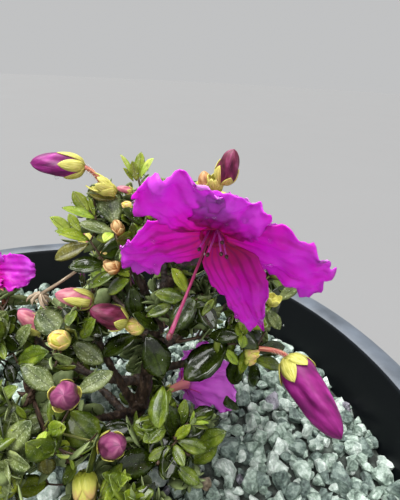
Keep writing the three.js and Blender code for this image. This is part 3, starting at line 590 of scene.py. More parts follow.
def petal_skin():
    # A petal's velvety skin, wet: magenta purple, crimson in the throat, with darker veins that fan out and a
    # painted sheen of the sky on its outer part
    tints = bpy.context.scene.rhodo_colours
    material, tree, sockets = start_material(
        "wet rhododendron petal", Roughness=0.42, IOR=1.38, Specular_IOR_Level=0.25, Subsurface_Weight=0.4,
        Subsurface_Scale=0.003, Subsurface_Radius=(1.0, 0.2, 1.0), Coat_Weight=0.12, Coat_Roughness=0.2)
    uv = add_node(tree, "ShaderNodeUVMap", uv_map="UVMap").outputs["UV"]
    place = add_node(tree, "ShaderNodeTexCoord").outputs["Object"]
    along = add_node(tree, "ShaderNodeSeparateXYZ", {"Vector": uv}).outputs["Y"]
    cloud = add_node(tree, "ShaderNodeTexNoise", {"Vector": place, "Scale": per_mm(9), "Detail": 3.0})
    shift = add_node(tree, "ShaderNodeMapRange", {
        "Value": cloud.outputs["Fac"], "From Min": 0.35, "From Max": 0.65, "To Min": 0.55, "To Max": 1.4})
    height = add_node(tree, "ShaderNodeMath", {0: along, 1: shift.outputs["Result"]}, operation="MULTIPLY")
    body = add_node(tree, "ShaderNodeValToRGB", {"Fac": height.outputs["Value"]}, [
        (0.0, (*tints.throat, 1)), (0.08, (*tints.throat, 1)), (0.22, (*tints.petal_deep, 1)),
        (0.45, (*tints.petal, 1)), (1.0, (*tints.petal_pale, 1))])
    # Broad clouds of painted sky sheen on the outer part of the wet petal
    wet = add_node(tree, "ShaderNodeTexNoise", {"Vector": place, "Scale": per_mm(10), "Detail": 2.0})
    share = add_node(tree, "ShaderNodeMapRange", {
        "Value": wet.outputs["Fac"], "From Min": 0.45, "From Max": 0.7, "To Min": 0.0, "To Max": 0.6})
    outer = add_node(tree, "ShaderNodeMapRange", {"Value": along, "From Min": 0.3, "From Max": 0.8})
    share = add_node(tree, "ShaderNodeMath", {
        0: share.outputs["Result"], 1: outer.outputs["Result"]}, operation="MULTIPLY")
    body = add_node(tree, "ShaderNodeMix", {
        0: share.outputs["Value"], 6: body.outputs["Color"], 7: (*tints.lilac_sky_sheen, 1)}, data_type="RGBA")
    # Half a dozen dark veins run up each lobe and fade before its edge
    veins = add_node(
        tree, "ShaderNodeTexWave",
        {"Vector": uv, "Scale": 2.0, "Distortion": 1.6, "Detail": 2.0, "Detail Scale": 1.4},
        bands_direction="X")
    line = add_node(tree, "ShaderNodeMapRange", {
        "Value": veins.outputs["Fac"], "From Min": 0.55, "From Max": 1.0, "To Min": 0.0, "To Max": 0.85})
    fade = add_node(tree, "ShaderNodeMapRange", {
        "Value": height.outputs["Value"], "From Min": 0.2, "From Max": 0.65, "To Min": 1.0, "To Max": 0.0})
    depth = add_node(tree, "ShaderNodeMath", {
        0: line.outputs["Result"], 1: fade.outputs["Result"]}, operation="MULTIPLY")
    veined = add_node(tree, "ShaderNodeMix", {
        0: depth.outputs["Value"], 6: body.outputs[2], 7: (*tints.vein, 1)}, data_type="RGBA")
    folds = add_node(tree, "ShaderNodeTexNoise", {"Vector": place, "Scale": per_mm(2.5), "Detail": 3.0})
    bump = add_node(tree, "ShaderNodeBump", {
        "Height": folds.outputs["Fac"], "Distance": 0.35 * MM, "Strength": 0.5})
    tree.links.new(veined.outputs[2], sockets["Base Color"])
    tree.links.new(bump.outputs["Normal"], sockets["Normal"])
    return material


def petal_back():
    # The back of a petal: a salmon tube that turns to soft violet, with faint streaks along the lobe. The
    # violet is painted lighter than the petal's own, as light that shines through it
    material, tree, sockets = start_material(
        "rhododendron petal back", Roughness=0.5, IOR=1.38, Subsurface_Weight=0.4, Subsurface_Scale=0.003,
        Subsurface_Radius=(1.0, 0.3, 1.0))
    uv = add_node(tree, "ShaderNodeUVMap", uv_map="UVMap").outputs["UV"]
    along = add_node(tree, "ShaderNodeSeparateXYZ", {"Vector": uv}).outputs["Y"]
    place = add_node(tree, "ShaderNodeMapping", {"Vector": uv, "Scale": (9, 1.5, 1)}).outputs["Vector"]
    streak = add_node(tree, "ShaderNodeTexNoise", {"Vector": place, "Scale": 1.0, "Detail": 3.0})
    shift = add_node(tree, "ShaderNodeMapRange", {
        "Value": streak.outputs["Fac"], "To Min": -0.3, "To Max": 0.3})
    height = add_node(tree, "ShaderNodeMath", {0: along, 1: shift.outputs["Result"]}, operation="ADD")
    # The tube's UVs run from -1 to 0 and the lobe's from 0 to 1
    share = add_node(tree, "ShaderNodeMapRange", {"Value": height.outputs["Value"], "From Min": -1.0})
    # Painted light: the violet stops are lighter than the back's own colour, for light shining through the
    # petal
    colour = add_node(tree, "ShaderNodeValToRGB", {"Fac": share.outputs["Result"]}, [
        (0.0, "#f29a78"), (0.38, "#ea7a90"), (0.55, "#e854ee"), (1.0, "#f27cfc")])
    bump = add_node(tree, "ShaderNodeBump", {
        "Height": streak.outputs["Fac"], "Distance": 0.3 * MM, "Strength": 0.4})
    tree.links.new(colour.outputs["Color"], sockets["Base Color"])
    tree.links.new(bump.outputs["Normal"], sockets["Normal"])
    return material


def streaked_skin(name, dark, body, pale, streaks=7.0, along=0.0, **constants):
    # The skin of a bud, scale, stalk or dry part, with streaks that run along it. Its tints follow the
    # streaks, or its length by the share along
    constants = {"Roughness": 0.42, "IOR": 1.4, "Coat_Weight": 0.2, **constants}
    material, tree, sockets = start_material(name, **constants)
    uv = add_node(tree, "ShaderNodeUVMap", uv_map="UVMap").outputs["UV"]
    place = add_node(tree, "ShaderNodeMapping", {"Vector": uv, "Scale": (streaks, 1.2, 1)}).outputs["Vector"]
    streak = add_node(tree, "ShaderNodeTexNoise", {"Vector": place, "Scale": 2.0, "Detail": 3.0})
    length = add_node(tree, "ShaderNodeSeparateXYZ", {"Vector": uv})
    tone = add_node(tree, "ShaderNodeMix", {
        0: along, 2: streak.outputs["Fac"], 3: length.outputs["Y"]}, data_type="FLOAT")
    colour = add_node(tree, "ShaderNodeValToRGB", {"Fac": tone.outputs[0]}, [
        (0.3, dark), (0.5, body), (0.7, pale)])
    bump = add_node(tree, "ShaderNodeBump", {
        "Height": streak.outputs["Fac"], "Distance": 0.2 * MM, "Strength": 0.5})
    tree.links.new(colour.outputs["Color"], sockets["Base Color"])
    tree.links.new(bump.outputs["Normal"], sockets["Normal"])
    return material


# The source's lines and its branching rule

class StemLine:
    """The centripetal spline through the stem's points, by share of its length."""

    def __init__(self, points):
        self.points = [Vector(point) for point in points]
        self.samples = [self.at(i / STEM_SAMPLES) for i in range(STEM_SAMPLES + 1)]
        steps = [(b - a).length for a, b in zip(self.samples, self.samples[1:])]
        self.lengths = np.concatenate([[0], np.cumsum(steps)])

    def at(self, t):
        pts = self.points
        place = (len(pts) - 1) * t
        first = min(int(place), len(pts) - 2)
        w = place - first
        p1, p2 = pts[first], pts[first + 1]
        p0 = pts[first - 1] if first > 0 else p1 * 2 - p2
        p3 = pts[first + 2] if first + 2 < len(pts) else p2 * 2 - p1
        d0, d1, d2 = ((b - a).length ** 0.5 for a, b in ((p0, p1), (p1, p2), (p2, p3)))
        slope1 = ((p1 - p0) / d0 - (p2 - p0) / (d0 + d1) + (p2 - p1) / d1) * d1
        slope2 = ((p2 - p1) / d1 - (p3 - p1) / (d1 + d2) + (p3 - p2) / d2) * d1
        square = p1 * -3 + p2 * 3 - slope1 * 2 - slope2
        cube = p1 * 2 - p2 * 2 + slope1 + slope2
        return p1 + slope1 * w + square * w ** 2 + cube * w ** 3

    def at_share(self, share):
        goal = share * self.lengths[-1]
        i = min(max(int(np.searchsorted(self.lengths, goal)), 1), STEM_SAMPLES)
        part = (goal - self.lengths[i - 1]) / (self.lengths[i] - self.lengths[i - 1])
        return self.samples[i - 1].lerp(self.samples[i], part)

    def share_at_height(self, height):
        share = 0.0
        while share < 1 and self.at_share(share).z < height:
            share += STEM_SHARE_STEP
        return min(share, 1.0)


STEM = StemLine(STEM_PATH)


def stem_radius(share):
    rise = share * STEM_PATH[-1][2]
    flare = ROOT_FLARE * math.exp(-rise / ROOT_FLARE_HEIGHT)
    return mix(STEM_BASE_RADIUS, STEM_TIP_RADIUS, share) + flare


def bough_line(name):
    """Points of a bough: from inside the stem, out of its side, and up to the mass that it carries."""
    mass = MASSES[name]
    share = STEM.share_at_height(mass.height)
    axis = STEM.at_share(share)
    heart = Vector(mass.heart)
    outward = (heart - axis).normalized()
    level = Vector((outward.x, outward.y, 0)).normalized()
    start = axis + level * (stem_radius(share) + CLEARANCE)
    end = heart - outward * mass.reach * BOUGH_END_SHARE
    bend = start.lerp(end, 0.5)
    bend.z += (start.z - end.z) * BOUGH_RISE - mass.sag
    return [axis] + arc(start, bend, end, BOUGH_STEPS)


def in_space(name, points):
    """Whether every point stays in a mass's own space."""
    heart, reach = Vector(MASSES[name].heart), MASSES[name].reach
    for point in points:
        if point.z < LEAVES_CLEAR_OF_GRIT or (point - heart).length > reach * REACH_SLACK:
            return False
        for other, mass in MASSES.items():
            if other == name:
                continue
            towards = Vector(mass.heart) - heart
            gap = towards.length
            share = 0.5 + (reach ** 2 - mass.reach ** 2) / (2 * gap * gap)
            plane = gap * min(max(share, CELL_SHARES[0]), CELL_SHARES[1])
            if (point - heart).dot(towards) / gap >= plane - CLEARANCE:
                return False
    return True


def leaf_row(tip, direction, turn, opening, length, width=1.0):
    """A leaf as its root, line, side, upper side, length and relative width."""
    radial = turned_from(direction, turn)
    along = radial * math.sin(opening) + direction * math.cos(opening)
    up = direction * math.sin(opening) - radial * math.cos(opening)
    side = up.cross(along)
    return {"root": tip.copy(), "along": along, "side": side, "up": up, "length": length, "width": width}


def leading_leaf(root, tip, roll, width):
    """The same for a leading leaf, which turns its upper side to the light."""
    root, tip = Vector(root), Vector(tip)
    along = (tip - root).normalized()
    side = LIGHT_SIDE.cross(along).normalized()
    turn = Quaternion(along, roll)
    return {
        "root": root, "along": along, "side": turn @ side, "up": turn @ along.cross(side),
        "length": (tip - root).length, "width": width / LEAF_WIDTH_SHARE}


def leaf_corners(leaf, scale=1.0):
    length = leaf["length"] * scale
    middle = leaf["root"] + leaf["along"] * (length * LEAF_WIDEST)
    side = leaf["side"] * (length * leaf["width"] * LEAF_WIDTH_SHARE / 2)
    return [leaf["root"] + leaf["along"] * length, middle + side, middle - side]


def main_shoots(name, leaf_length):
    """The source's shoots of a mass, each with the leaves of its whorl."""
    heart, reach, shoots, seed = MASSES[name][:4]
    draw = draws(seed)
    heart = Vector(heart)
    outward = (heart - PLANT_HEART).normalized()
    side, rise = across(outward)
    rows = []
    for i in range(shoots):
        level = 1 - SHOOT_SPREAD * ((i + 0.5) / shoots)
        spread = math.sqrt(1 - level * level)
        turn = i * GOLDEN_ANGLE + draw() * SHOOT_JITTER
        direction = outward * level + side * (math.cos(turn) * spread) + rise * (math.sin(turn) * spread)
        direction.z += SHOOT_LIFT
        direction.normalize()
        tip = heart + direction * (reach * mix(*SHOOT_REACHES, draw()))
        leaves = []
        for k in range(LEAVES_IN_WHORL):
            leaf_turn = (k / LEAVES_IN_WHORL + draw() * WHORL_JITTER) * TURN
            opening = mix(*LEAF_OPENING, draw())
            length = leaf_length * mix(*LEAF_LENGTHS, draw())
            leaves.append(leaf_row(tip, direction, leaf_turn, opening, length))
        rows.append({"foot": heart, "tip": tip, "direction": direction, "leaves": leaves})
    return rows


# Sizes and colours that a user may change

def length_setting(name, about, millimetres):
    return bpy.props.FloatProperty(
        name=name, description=about, default=millimetres * MM, min=0, precision=5, unit="LENGTH",
        subtype="DISTANCE")


def colour_setting(name, about, hex_colour):
    return bpy.props.FloatVectorProperty(
        name=name, description=about, default=linear(hex_colour)[:3], size=3, min=0, max=1, subtype="COLOR")


class RHODO_PG_sizes(bpy.types.PropertyGroup):
    """Sizes of the plant's repeated parts."""
    leaf_length: length_setting("Leaf length", "Length of a full-grown leaf", 15)
    petal_thickness: length_setting("Petal thickness", "Thickness of the petals", 0.28)
    petal_ruffle: length_setting("Petal ruffle", "Height of the waves along a petal's edge", 2.0)
    bark_relief: length_setting("Bark relief", "Height of the bark's plates", 0.34)
    bark_mesh: length_setting("Bark mesh", "Size of the bark's faces", 0.36)
    stone_size: length_setting("Stone size", "Usual size of a stone in the grit", 9)
    stone_step: length_setting("Stone step", "Distance between neighbouring stones of a layer", 6.6)
    pot_sides: bpy.props.IntProperty(
        name="Pot sides", description="How many sides the round pot is made with", default=128, min=32,
        max=512)


class RHODO_PG_colours(bpy.types.PropertyGroup):
    """Colours of the petals, the pot and the floor."""
    plastic: colour_setting("Pot plastic", "Clean plastic of the pot", "#080b0e")
    # Grey-blue of faces that look up: a dusty film and a painted sheen of the sky
    plastic_dust_and_sky_sheen: colour_setting("Dusty plastic", "Plastic under dust, where it faces up", "#606872")
    petal_pale: colour_setting("Petal edge", "Outer part of a petal", "#c036c8")
    petal: colour_setting("Petal", "Middle of a petal", "#c214b4")
    petal_deep: colour_setting("Inner petal", "Part of a petal near the throat", "#c00c8e")
    # Painted sheen of the sky on the wet petals, laid on in clouds
    lilac_sky_sheen: colour_setting("Wet petal", "Clouds on a petal, where it is wet through", "#b650ca")
    throat: colour_setting("Throat", "Throat of the flower", "#a80c4c")
    vein: colour_setting("Petal veins", "Veins of the petals", "#86045c")
    floor: colour_setting("Floor", "Floor under the pot", "#797979")


def size_of(name):
    """One of the sizes above, in millimetres."""
    return getattr(bpy.context.scene.rhodo_sizes, name) / MM


# Pot

RIM_WIDTH = 12.0
POT_WALL = 2.2
SKIRT_DROP = 26.0
BASE_RADIUS = 122.0
FOOT_RING = 14.0
RIM_ROUNDING = 3.0
RIM_SHOULDER = 0.9
SKIRT_DRAFT = 0.4


def pot_section():
    """The pot's section as radius and height pairs, from the underside's edge outwards and up."""
    rim, top, base = POT_RADIUS, POT_TOP, BASE_RADIUS
    outer = rim - RIM_WIDTH + POT_WALL
    inside = rim - RIM_WIDTH
    inner_middle = mix(base, outer, 0.6) - POT_WALL
    return [
        (base - FOOT_RING, 3.0), (base - FOOT_RING, 0.0), (base, 0.0), (mix(base, outer, 0.05), top * 0.05),
        (mix(base, outer, 0.5), top * 0.5), (outer, top - POT_WALL * 2), (rim - POT_WALL, top - POT_WALL * 2),
        (rim - POT_WALL, top - SKIRT_DROP), (rim - SKIRT_DRAFT, top - SKIRT_DROP), (rim, top - RIM_ROUNDING),
        (rim - RIM_SHOULDER, top - RIM_SHOULDER), (rim - RIM_ROUNDING, top), (inside + RIM_ROUNDING, top),
        (inside + RIM_SHOULDER, top - RIM_SHOULDER), (inside, top - RIM_ROUNDING),
        (inner_middle, top * 0.6), (mix(base, outer, 0.03) - POT_WALL, 7.0),
    ]


def make_pot():
    """A disc extruded and scaled step by step round the section, from the underside to the floor inside."""
    section = pot_section()
    bpy.ops.object.select_all(action="DESELECT")
    bpy.ops.mesh.primitive_circle_add(
        vertices=bpy.context.scene.rhodo_sizes.pot_sides, radius=section[0][0] * MM, fill_type="NGON",
        location=(0, 0, section[0][1] * MM))
    pot = bpy.context.object
    pot.name = pot.data.name = "nursery_pot"
    bpy.ops.object.mode_set(mode="EDIT")
    bpy.ops.mesh.select_all(action="SELECT")
    for (radius, height), (next_radius, next_height) in zip(section, section[1:]):
        rise = (next_height - height) * MM
        bpy.ops.mesh.extrude_region_move(TRANSFORM_OT_translate={"value": (0, 0, rise)})
        grow = next_radius / radius
        bpy.ops.transform.resize(value=(grow, grow, 1), center_override=(0, 0, next_height * MM))
    bpy.ops.mesh.select_all(action="SELECT")
    bpy.ops.mesh.normals_make_consistent(inside=False)
    bpy.ops.object.mode_set(mode="OBJECT")
    bpy.ops.object.transform_apply(location=True, rotation=True, scale=True)
    bevel = pot.modifiers.new("softened edges", "BEVEL")
    bevel.width = 0.8 * MM
    bevel.segments = 2
    bevel.limit_method = "ANGLE"
    bevel.angle_limit = math.radians(50)
    bpy.ops.object.modifier_apply(modifier=bevel.name)
    bpy.ops.object.shade_smooth_by_angle(angle=math.radians(40))
    pot.data.materials.append(moulded_plastic())
    settle(pot, ["pot"])


def dress_mix():
    """The potting mix keeps its CAD shape and gets its material."""
    # Bark-based potting mix, damp: dark fibres and crumbs
    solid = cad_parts["potting_mix"]
    solid.data.materials.clear()
    solid.data.materials.append(grainy(
        "damp bark potting mix", [(0.3, "#1b1510"), (0.6, "#3a2c20")], 4, 2.5, 1.5, Roughness=0.9))


# Grit

# Dark, middle and pale tint of each kind of stone, and its share of the stones
STONE_KINDS = {
    "stones_sage": ("#5d6d63", "#93a698", "#c4d2c8", 48),
    "stones_pale": ("#93a29a", "#bccabf", "#e6eee8", 22),
    "stones_dark": ("#3b4743", "#697a72", "#93a298", 22),
    "stones_brown": ("#524636", "#8a7a64", "#b3a48c", 1),
    "stones_violet": ("#5d5a63", "#8f8b96", "#b8b4bf", 1),
}
STONE_SHAPES = 18
STONE_CUTS = 11
CUT_DEPTHS = (0.45, 0.82)
STONE_STRETCHES = ((0.85, 1.3), (0.75, 1.1), (0.65, 0.95))
STONE_SIZES = (0.62, 1.25)

# Layers of stones: height over the grit's level, and shares of the usual size and distance
GRIT_LAYERS = ((-6.4, 0.72, 0.85), (-4.4, 0.95, 1.15), (-2.9, 1.08, 1.5))
ROW_PITCH = 0.866
STONE_SHIFT = 0.8
STONE_LIFT = 1.6
GRIT_MARGIN = 1.6
STEM_ROOM = 5.5
BED_DROP = 8
BED_DEPTH = 6
BED_MARGIN = 0.8
BED_RELIEF = 1.2


def stone_shape(draw):
    """A crushed stone in unit size: a ball cut flat on random sides, then roughened."""
    points, faces = ball(Vector((0, 0, 0)), 1.0)
    cuts = []
    for _ in range(STONE_CUTS):
        z = draw() * 2 - 1
        flat, turn = math.sqrt(1 - z * z), draw() * TURN
        cuts.append((Vector((flat * math.cos(turn), flat * math.sin(turn), z)), mix(*CUT_DEPTHS, draw())))
    stretch = np.array([mix(*limits, draw()) for limits in STONE_STRETCHES])
    rough = Vector((draw() * 50, 0, 0))
    shaped = []
    for point in points:
        for normal, depth in cuts:
            point = point - normal * max(point.dot(normal) - depth, 0)
        shaped.append(point * (1.12 + 0.16 * noise.noise(point * 2.3 + rough)))
    return np.array(shaped) * stretch, faces


def make_grit():
    """Loose stones in layers, the small ones lowest, over a dark bed that fills the gaps."""
    draw = draws(GRIT_SEED)
    shapes = [stone_shape(draw) for _ in range(STONE_SHAPES)]
    heaps = {name: Heap() for name in STONE_KINDS}
    bag = [name for name, (*_tints, share) in STONE_KINDS.items() for _ in range(share)]
    inner = POT_RADIUS - RIM_WIDTH - GRIT_MARGIN
    big, step = size_of("stone_size"), size_of("stone_step")
    for level, scale, spread in GRIT_LAYERS:
        pitch = step * spread
        for i in range(int(inner * 2 / (pitch * ROW_PITCH)) + 1):
            for k in range(int(inner * 2 / pitch) + 1):
                x = -inner + (k + 0.5 * (i % 2)) * pitch + (draw() - 0.5) * pitch * STONE_SHIFT
                y = -inner + i * pitch * ROW_PITCH + (draw() - 0.5) * pitch * STONE_SHIFT
                half = big * 0.5 * scale * mix(*STONE_SIZES, draw() ** 1.4)
                turn = Quaternion([draw() - 0.5 for _ in range(4)]).normalized()
                name = pick(bag, draw)
                points, faces = pick(shapes, draw)
                lift = (draw() - 0.5) * STONE_LIFT
                spot = np.array([x - FOOT[0], y - FOOT[1], level + lift])
                past_wall = math.hypot(x, y) > inner - half * 0.9
                if past_wall or math.hypot(spot[0], spot[1]) < STEM_ROOM + half * 0.5:
                    continue
                heaps[name].add(points @ np.array(turn.to_matrix()).T * half + spot, faces)
    for name, (dark, middle, pale, _share) in STONE_KINDS.items():
        # Crushed rock, damp: a granular fracture with paler specks
        skin = grainy(name.replace("_", " "), [(0.36, dark), (0.5, middle), (0.63, pale)], 3, 1.4, 1.1,
                      strength=1.0, Roughness=0.5, IOR=1.55)
        piece = piece_from(name, heaps[name], [skin], ["grit_layer"] if name == "stones_sage" else [])
        take(piece)
        bpy.ops.object.shade_smooth_by_angle(angle=math.radians(24))
    make_bed(inner)


def make_bed(inner):
    """The bed of fine dark grit under the stones: a shallow disc with an uneven top."""
    bpy.ops.object.select_all(action="DESELECT")
    top = (GRIT_LEVEL - BED_DROP) * MM
    bpy.ops.mesh.primitive_cylinder_add(
        vertices=96, radius=(inner - BED_MARGIN) * MM, depth=BED_DEPTH * MM,
        location=(0, 0, top - BED_DEPTH / 2 * MM), end_fill_type="TRIFAN")
    bed = bpy.context.object
    bed.name = bed.data.name = "grit_bed"
    bpy.ops.object.mode_set(mode="EDIT")
    bpy.ops.mesh.select_all(action="SELECT")
    bpy.ops.mesh.subdivide(number_cuts=5)
    bpy.ops.object.mode_set(mode="OBJECT")
    bpy.ops.object.transform_apply(location=True, rotation=True, scale=True)
    for vert in bed.data.vertices:
        if vert.co.z > top - 0.1 * MM and math.hypot(vert.co.x, vert.co.y) < (inner - 3) * MM:
            vert.co.z += BED_RELIEF * MM * noise.noise(vert.co * 90)
    # Fine grit and silt, wet and dark
    tints = [(0.35, "#20241f"), (0.5, "#39403a"), (0.68, "#59625a")]
    bed.data.materials.append(grainy("fine dark grit", tints, 3, 1.4, 1.2, Roughness=0.7))
    settle(bed)


# Bark

STEM_RINGS = 40
STEM_SIDES = 20
STEM_SINK = 3.0
BOUGH_SIDES = 12
BOUGH_FOOT_SWELL = 1.25
BOUGH_WANDER = 0.45
BOUGH_KNOT = 2.3
KNOT_UNEVEN = 0.12
# Knots on the stem: the number of its point, and the knot's radius
STEM_KNOTS = ((4, 3.2), (2, 3.7))
# How often the plates change across and along the stem in a millimetre, and the height of broad bumps
PLATES_ACROSS = 1.25
PLATES_ALONG = 0.42
BARK_BUMPS = 0.4


def make_bark():
    """Stem and boughs as tubes, fused by a remesh into one skin, then given the bark's relief."""
    heap = Heap()
    stem, radii = [], []
    for i in range(STEM_RINGS + 1):
        stem.append(STEM.at_share(i / STEM_RINGS))
        uneven = 1 + 0.08 * noise.noise(Vector((i * 0.55, 3.1, 0)))
        radii.append(stem_radius(i / STEM_RINGS) * uneven)
    stem[0].z -= STEM_SINK
    heap.add(*tube(stem, radii, STEM_SIDES))
    limbs = ["main_stem"]
    for name, mass in MASSES.items():
        if mass.height is None:
            continue
        limbs.append(name.replace("crown", "bough"))
        line = bough_line(name)
        radii = [BOUGH_BASE_RADIUS * BOUGH_FOOT_SWELL]
        for i in range(BOUGH_STEPS + 1):
            uneven = 1 + 0.1 * noise.noise(Vector((i * 0.7, mass.seed, 0)))
            radii.append(mix(BOUGH_BASE_RADIUS, BOUGH_TIP_RADIUS, i / BOUGH_STEPS) * uneven)
        bent = [point + BOUGH_WANDER * noise.noise_vector(point * 0.16) for point in line[:-1]] + [line[-1]]
        heap.add(*tube(bent, radii, BOUGH_SIDES))
        heap.add(*ball(line[1], BOUGH_KNOT, KNOT_UNEVEN))
    for number, radius in STEM_KNOTS:
        heap.add(*ball(Vector(STEM_PATH[number]), radius, KNOT_UNEVEN))
    tints = [(0.35, "#1a120d"), (0.55, "#3d2e24"), (0.75, "#6e5a48")]
    # Bark of an old dwarf stem, wet: nearly black in the cracks, brown on the plates
    skin = grainy("wet stem bark", tints, 1.8, 1.8, 0.5, (1, 1, 0.35), 0.9, Roughness=0.55, IOR=1.45)
    bark = piece_from("bark_limbs", heap, [skin], limbs)
    take(bark)
    fuse = bark.modifiers.new("one skin", "REMESH")
    fuse.mode = "VOXEL"
    fuse.voxel_size = size_of("bark_mesh") * MM
    bpy.ops.object.modifier_apply(modifier=fuse.name)
    give_relief(bark.data)
    bpy.ops.object.shade_smooth()


def give_relief(mesh):
    """Moves each point of the bark in or out: long plates, fine cracks and a few broad bumps."""
    depth = size_of("bark_relief")
    normals = np.zeros(len(mesh.vertices) * 3)
    places = np.zeros(len(mesh.vertices) * 3)
    mesh.vertices.foreach_get("normal", normals)
    mesh.vertices.foreach_get("co", places)
    normals, places = normals.reshape(-1, 3), places.reshape(-1, 3)
    moves = []
    for x, y, z in places / MM:
        spot = Vector((x * PLATES_ACROSS, y * PLATES_ACROSS, z * PLATES_ALONG))
        plates = abs(noise.noise(spot)) * 2 - 0.5
        broad = BARK_BUMPS * noise.noise(Vector((x, y, z)) * 0.22)
        moves.append(depth * (0.9 * plates + 0.45 * noise.noise(spot * 2.7)) + broad)
    mesh.vertices.foreach_set("co", (places + normals * (np.array(moves) * MM)[:, None]).ravel())
    mesh.update()


# Foliage

# A leaf's half widths at shares of its length, and its forms: fold, curl, cup and wave of the edge
LEAF_HALVES = (
    (0.0, 0.03), (0.14, 0.105), (0.36, 0.21), (0.6, 0.24), (0.8, 0.185), (0.93, 0.09), (1.0, 0.01))
LEAF_FORMS = (
    (0.3, 0.10, 0.1, 0.012), (0.15, 0.20, 0.2, 0.02), (0.45, 0.02, 0.0, 0.01), (0.1, 0.28, 0.25, 0.015))
FOLDED_FORM = 2
LEAF_COLUMNS = 4
BLADE_HALF_THICKNESS = 0.011
LEAF_STALK = 1.5

# Leaves of the finer growth: openings, lengths and relative width
LEAF_SORTS = {
    "below": ((1.0, 1.6), (10, 14.5), 1.1),
    "side": ((0.7, 1.35), (8, 12.5), 1.1),
    "young": ((0.3, 0.9), (5, 8.5), 0.8),
    "deep": ((1.1, 2.0), (9, 13), 1.25),
    "shade": ((0.5, 1.3), (10, 14), 1.25),
}
LEAVES_BELOW = 5
SIDE_LEAVES = 5
YOUNG_LEAVES = 3
DEEP_LEAVES = 11
SIDE_SHOOTS = 2
SIDE_SHOOT_PLACES = (0.45, 0.8)
SIDE_SHOOT_LEANS = (0.6, 1.0)
SIDE_SHOOT_LENGTHS = (5.0, 8.5)
SPRAY_WIDTHS = (0.95, 1.25)

# Chances that a leaf is of its spray's kind, that the middle ones are young, and that a shade leaf is dark
SAME_KIND = 0.75
YOUNG_MIDDLE = 0.25
DARK_SHADE = 0.7

# Twigs: radius at foot and tip
CARRIER_TWIG = (1.05, 0.9)
MAIN_TWIG = (0.6, 0.42)
SIDE_TWIG = (0.42, 0.32)
LEAF_TWIG = (0.36, 0.3)
YOUNG_SHOOT_TWIGS = ((0.7, 0.6), (0.6, 0.8))
TWIG_STEPS = 5
TWIG_SIDES = 6
TWIG_BOW = 0.12
TWIG_TIP_SWELL = 1.25

# Leaves by kind: deep, body and pale tint, roughness, tint of the edge, share of silvery hairs and of wet
LEAF_TINTS = {
    "dark": ("#101702", "#222e04", "#38480e", 0.15, "#b9c49a", 0.05, 0.9),
    "green": ("#32440a", "#586a14", "#7e8c2c", 0.28, "#e8efc8", 0.22, 0.6),
    "grey": ("#3a4826", "#5e6a3a", "#828c58", 0.34, "#f4f6e4", 0.55, 0.25),
    "bright": ("#566c0e", "#80921e", "#a6b23c", 0.36, "#ffffe0", 0.3, 0.3),
    "bronze": ("#454514", "#6c6826", "#928c40", 0.3, "#e6dcb0", 0.35, 0.4),
    "young": ("#6c8a24", "#96ae3a", "#bcc862", 0.4, "#ffffee", 0.3, 0.15),
}


def leaf_shape(fold, curl, cup, wave):
    """A closed leaf of unit length along X and upper side +Z, with a fold, a curl and a wavy edge."""
    points, uvs, faces, marks = [], [], [], []
    top, bottom = {}, {}
    last = len(LEAF_HALVES) - 1
    for r, (s, half) in enumerate(LEAF_HALVES):
        for c in range(LEAF_COLUMNS + 1):
            u = 2 * c / LEAF_COLUMNS - 1
            height = fold * abs(u) * half - cup * half * (1 - u * u) - curl * s * s
            height += wave * abs(u) * math.sin(7 * s + 2 * c)
            edge = r in (0, last) or c in (0, LEAF_COLUMNS)
            for side, lift in ((top, BLADE_HALF_THICKNESS), (bottom, -BLADE_HALF_THICKNESS)):
                if edge and side is bottom:
                    bottom[r, c] = top[r, c]
                    continue
                side[r, c] = len(points)
                points.append((s * (1 - 0.12 * curl * s), u * half, height + (0 if edge else lift)))
                uvs.append((c / LEAF_COLUMNS, s))
    for r in range(last):
        for c in range(LEAF_COLUMNS):
            ring = [(r, c), (r + 1, c), (r + 1, c + 1), (r, c + 1)]
            faces.append(tuple(top[key] for key in ring))
            faces.append(tuple(bottom[key] for key in reversed(ring)))
            marks += [0, 1]
    return np.array(points), faces, np.array(uvs), marks


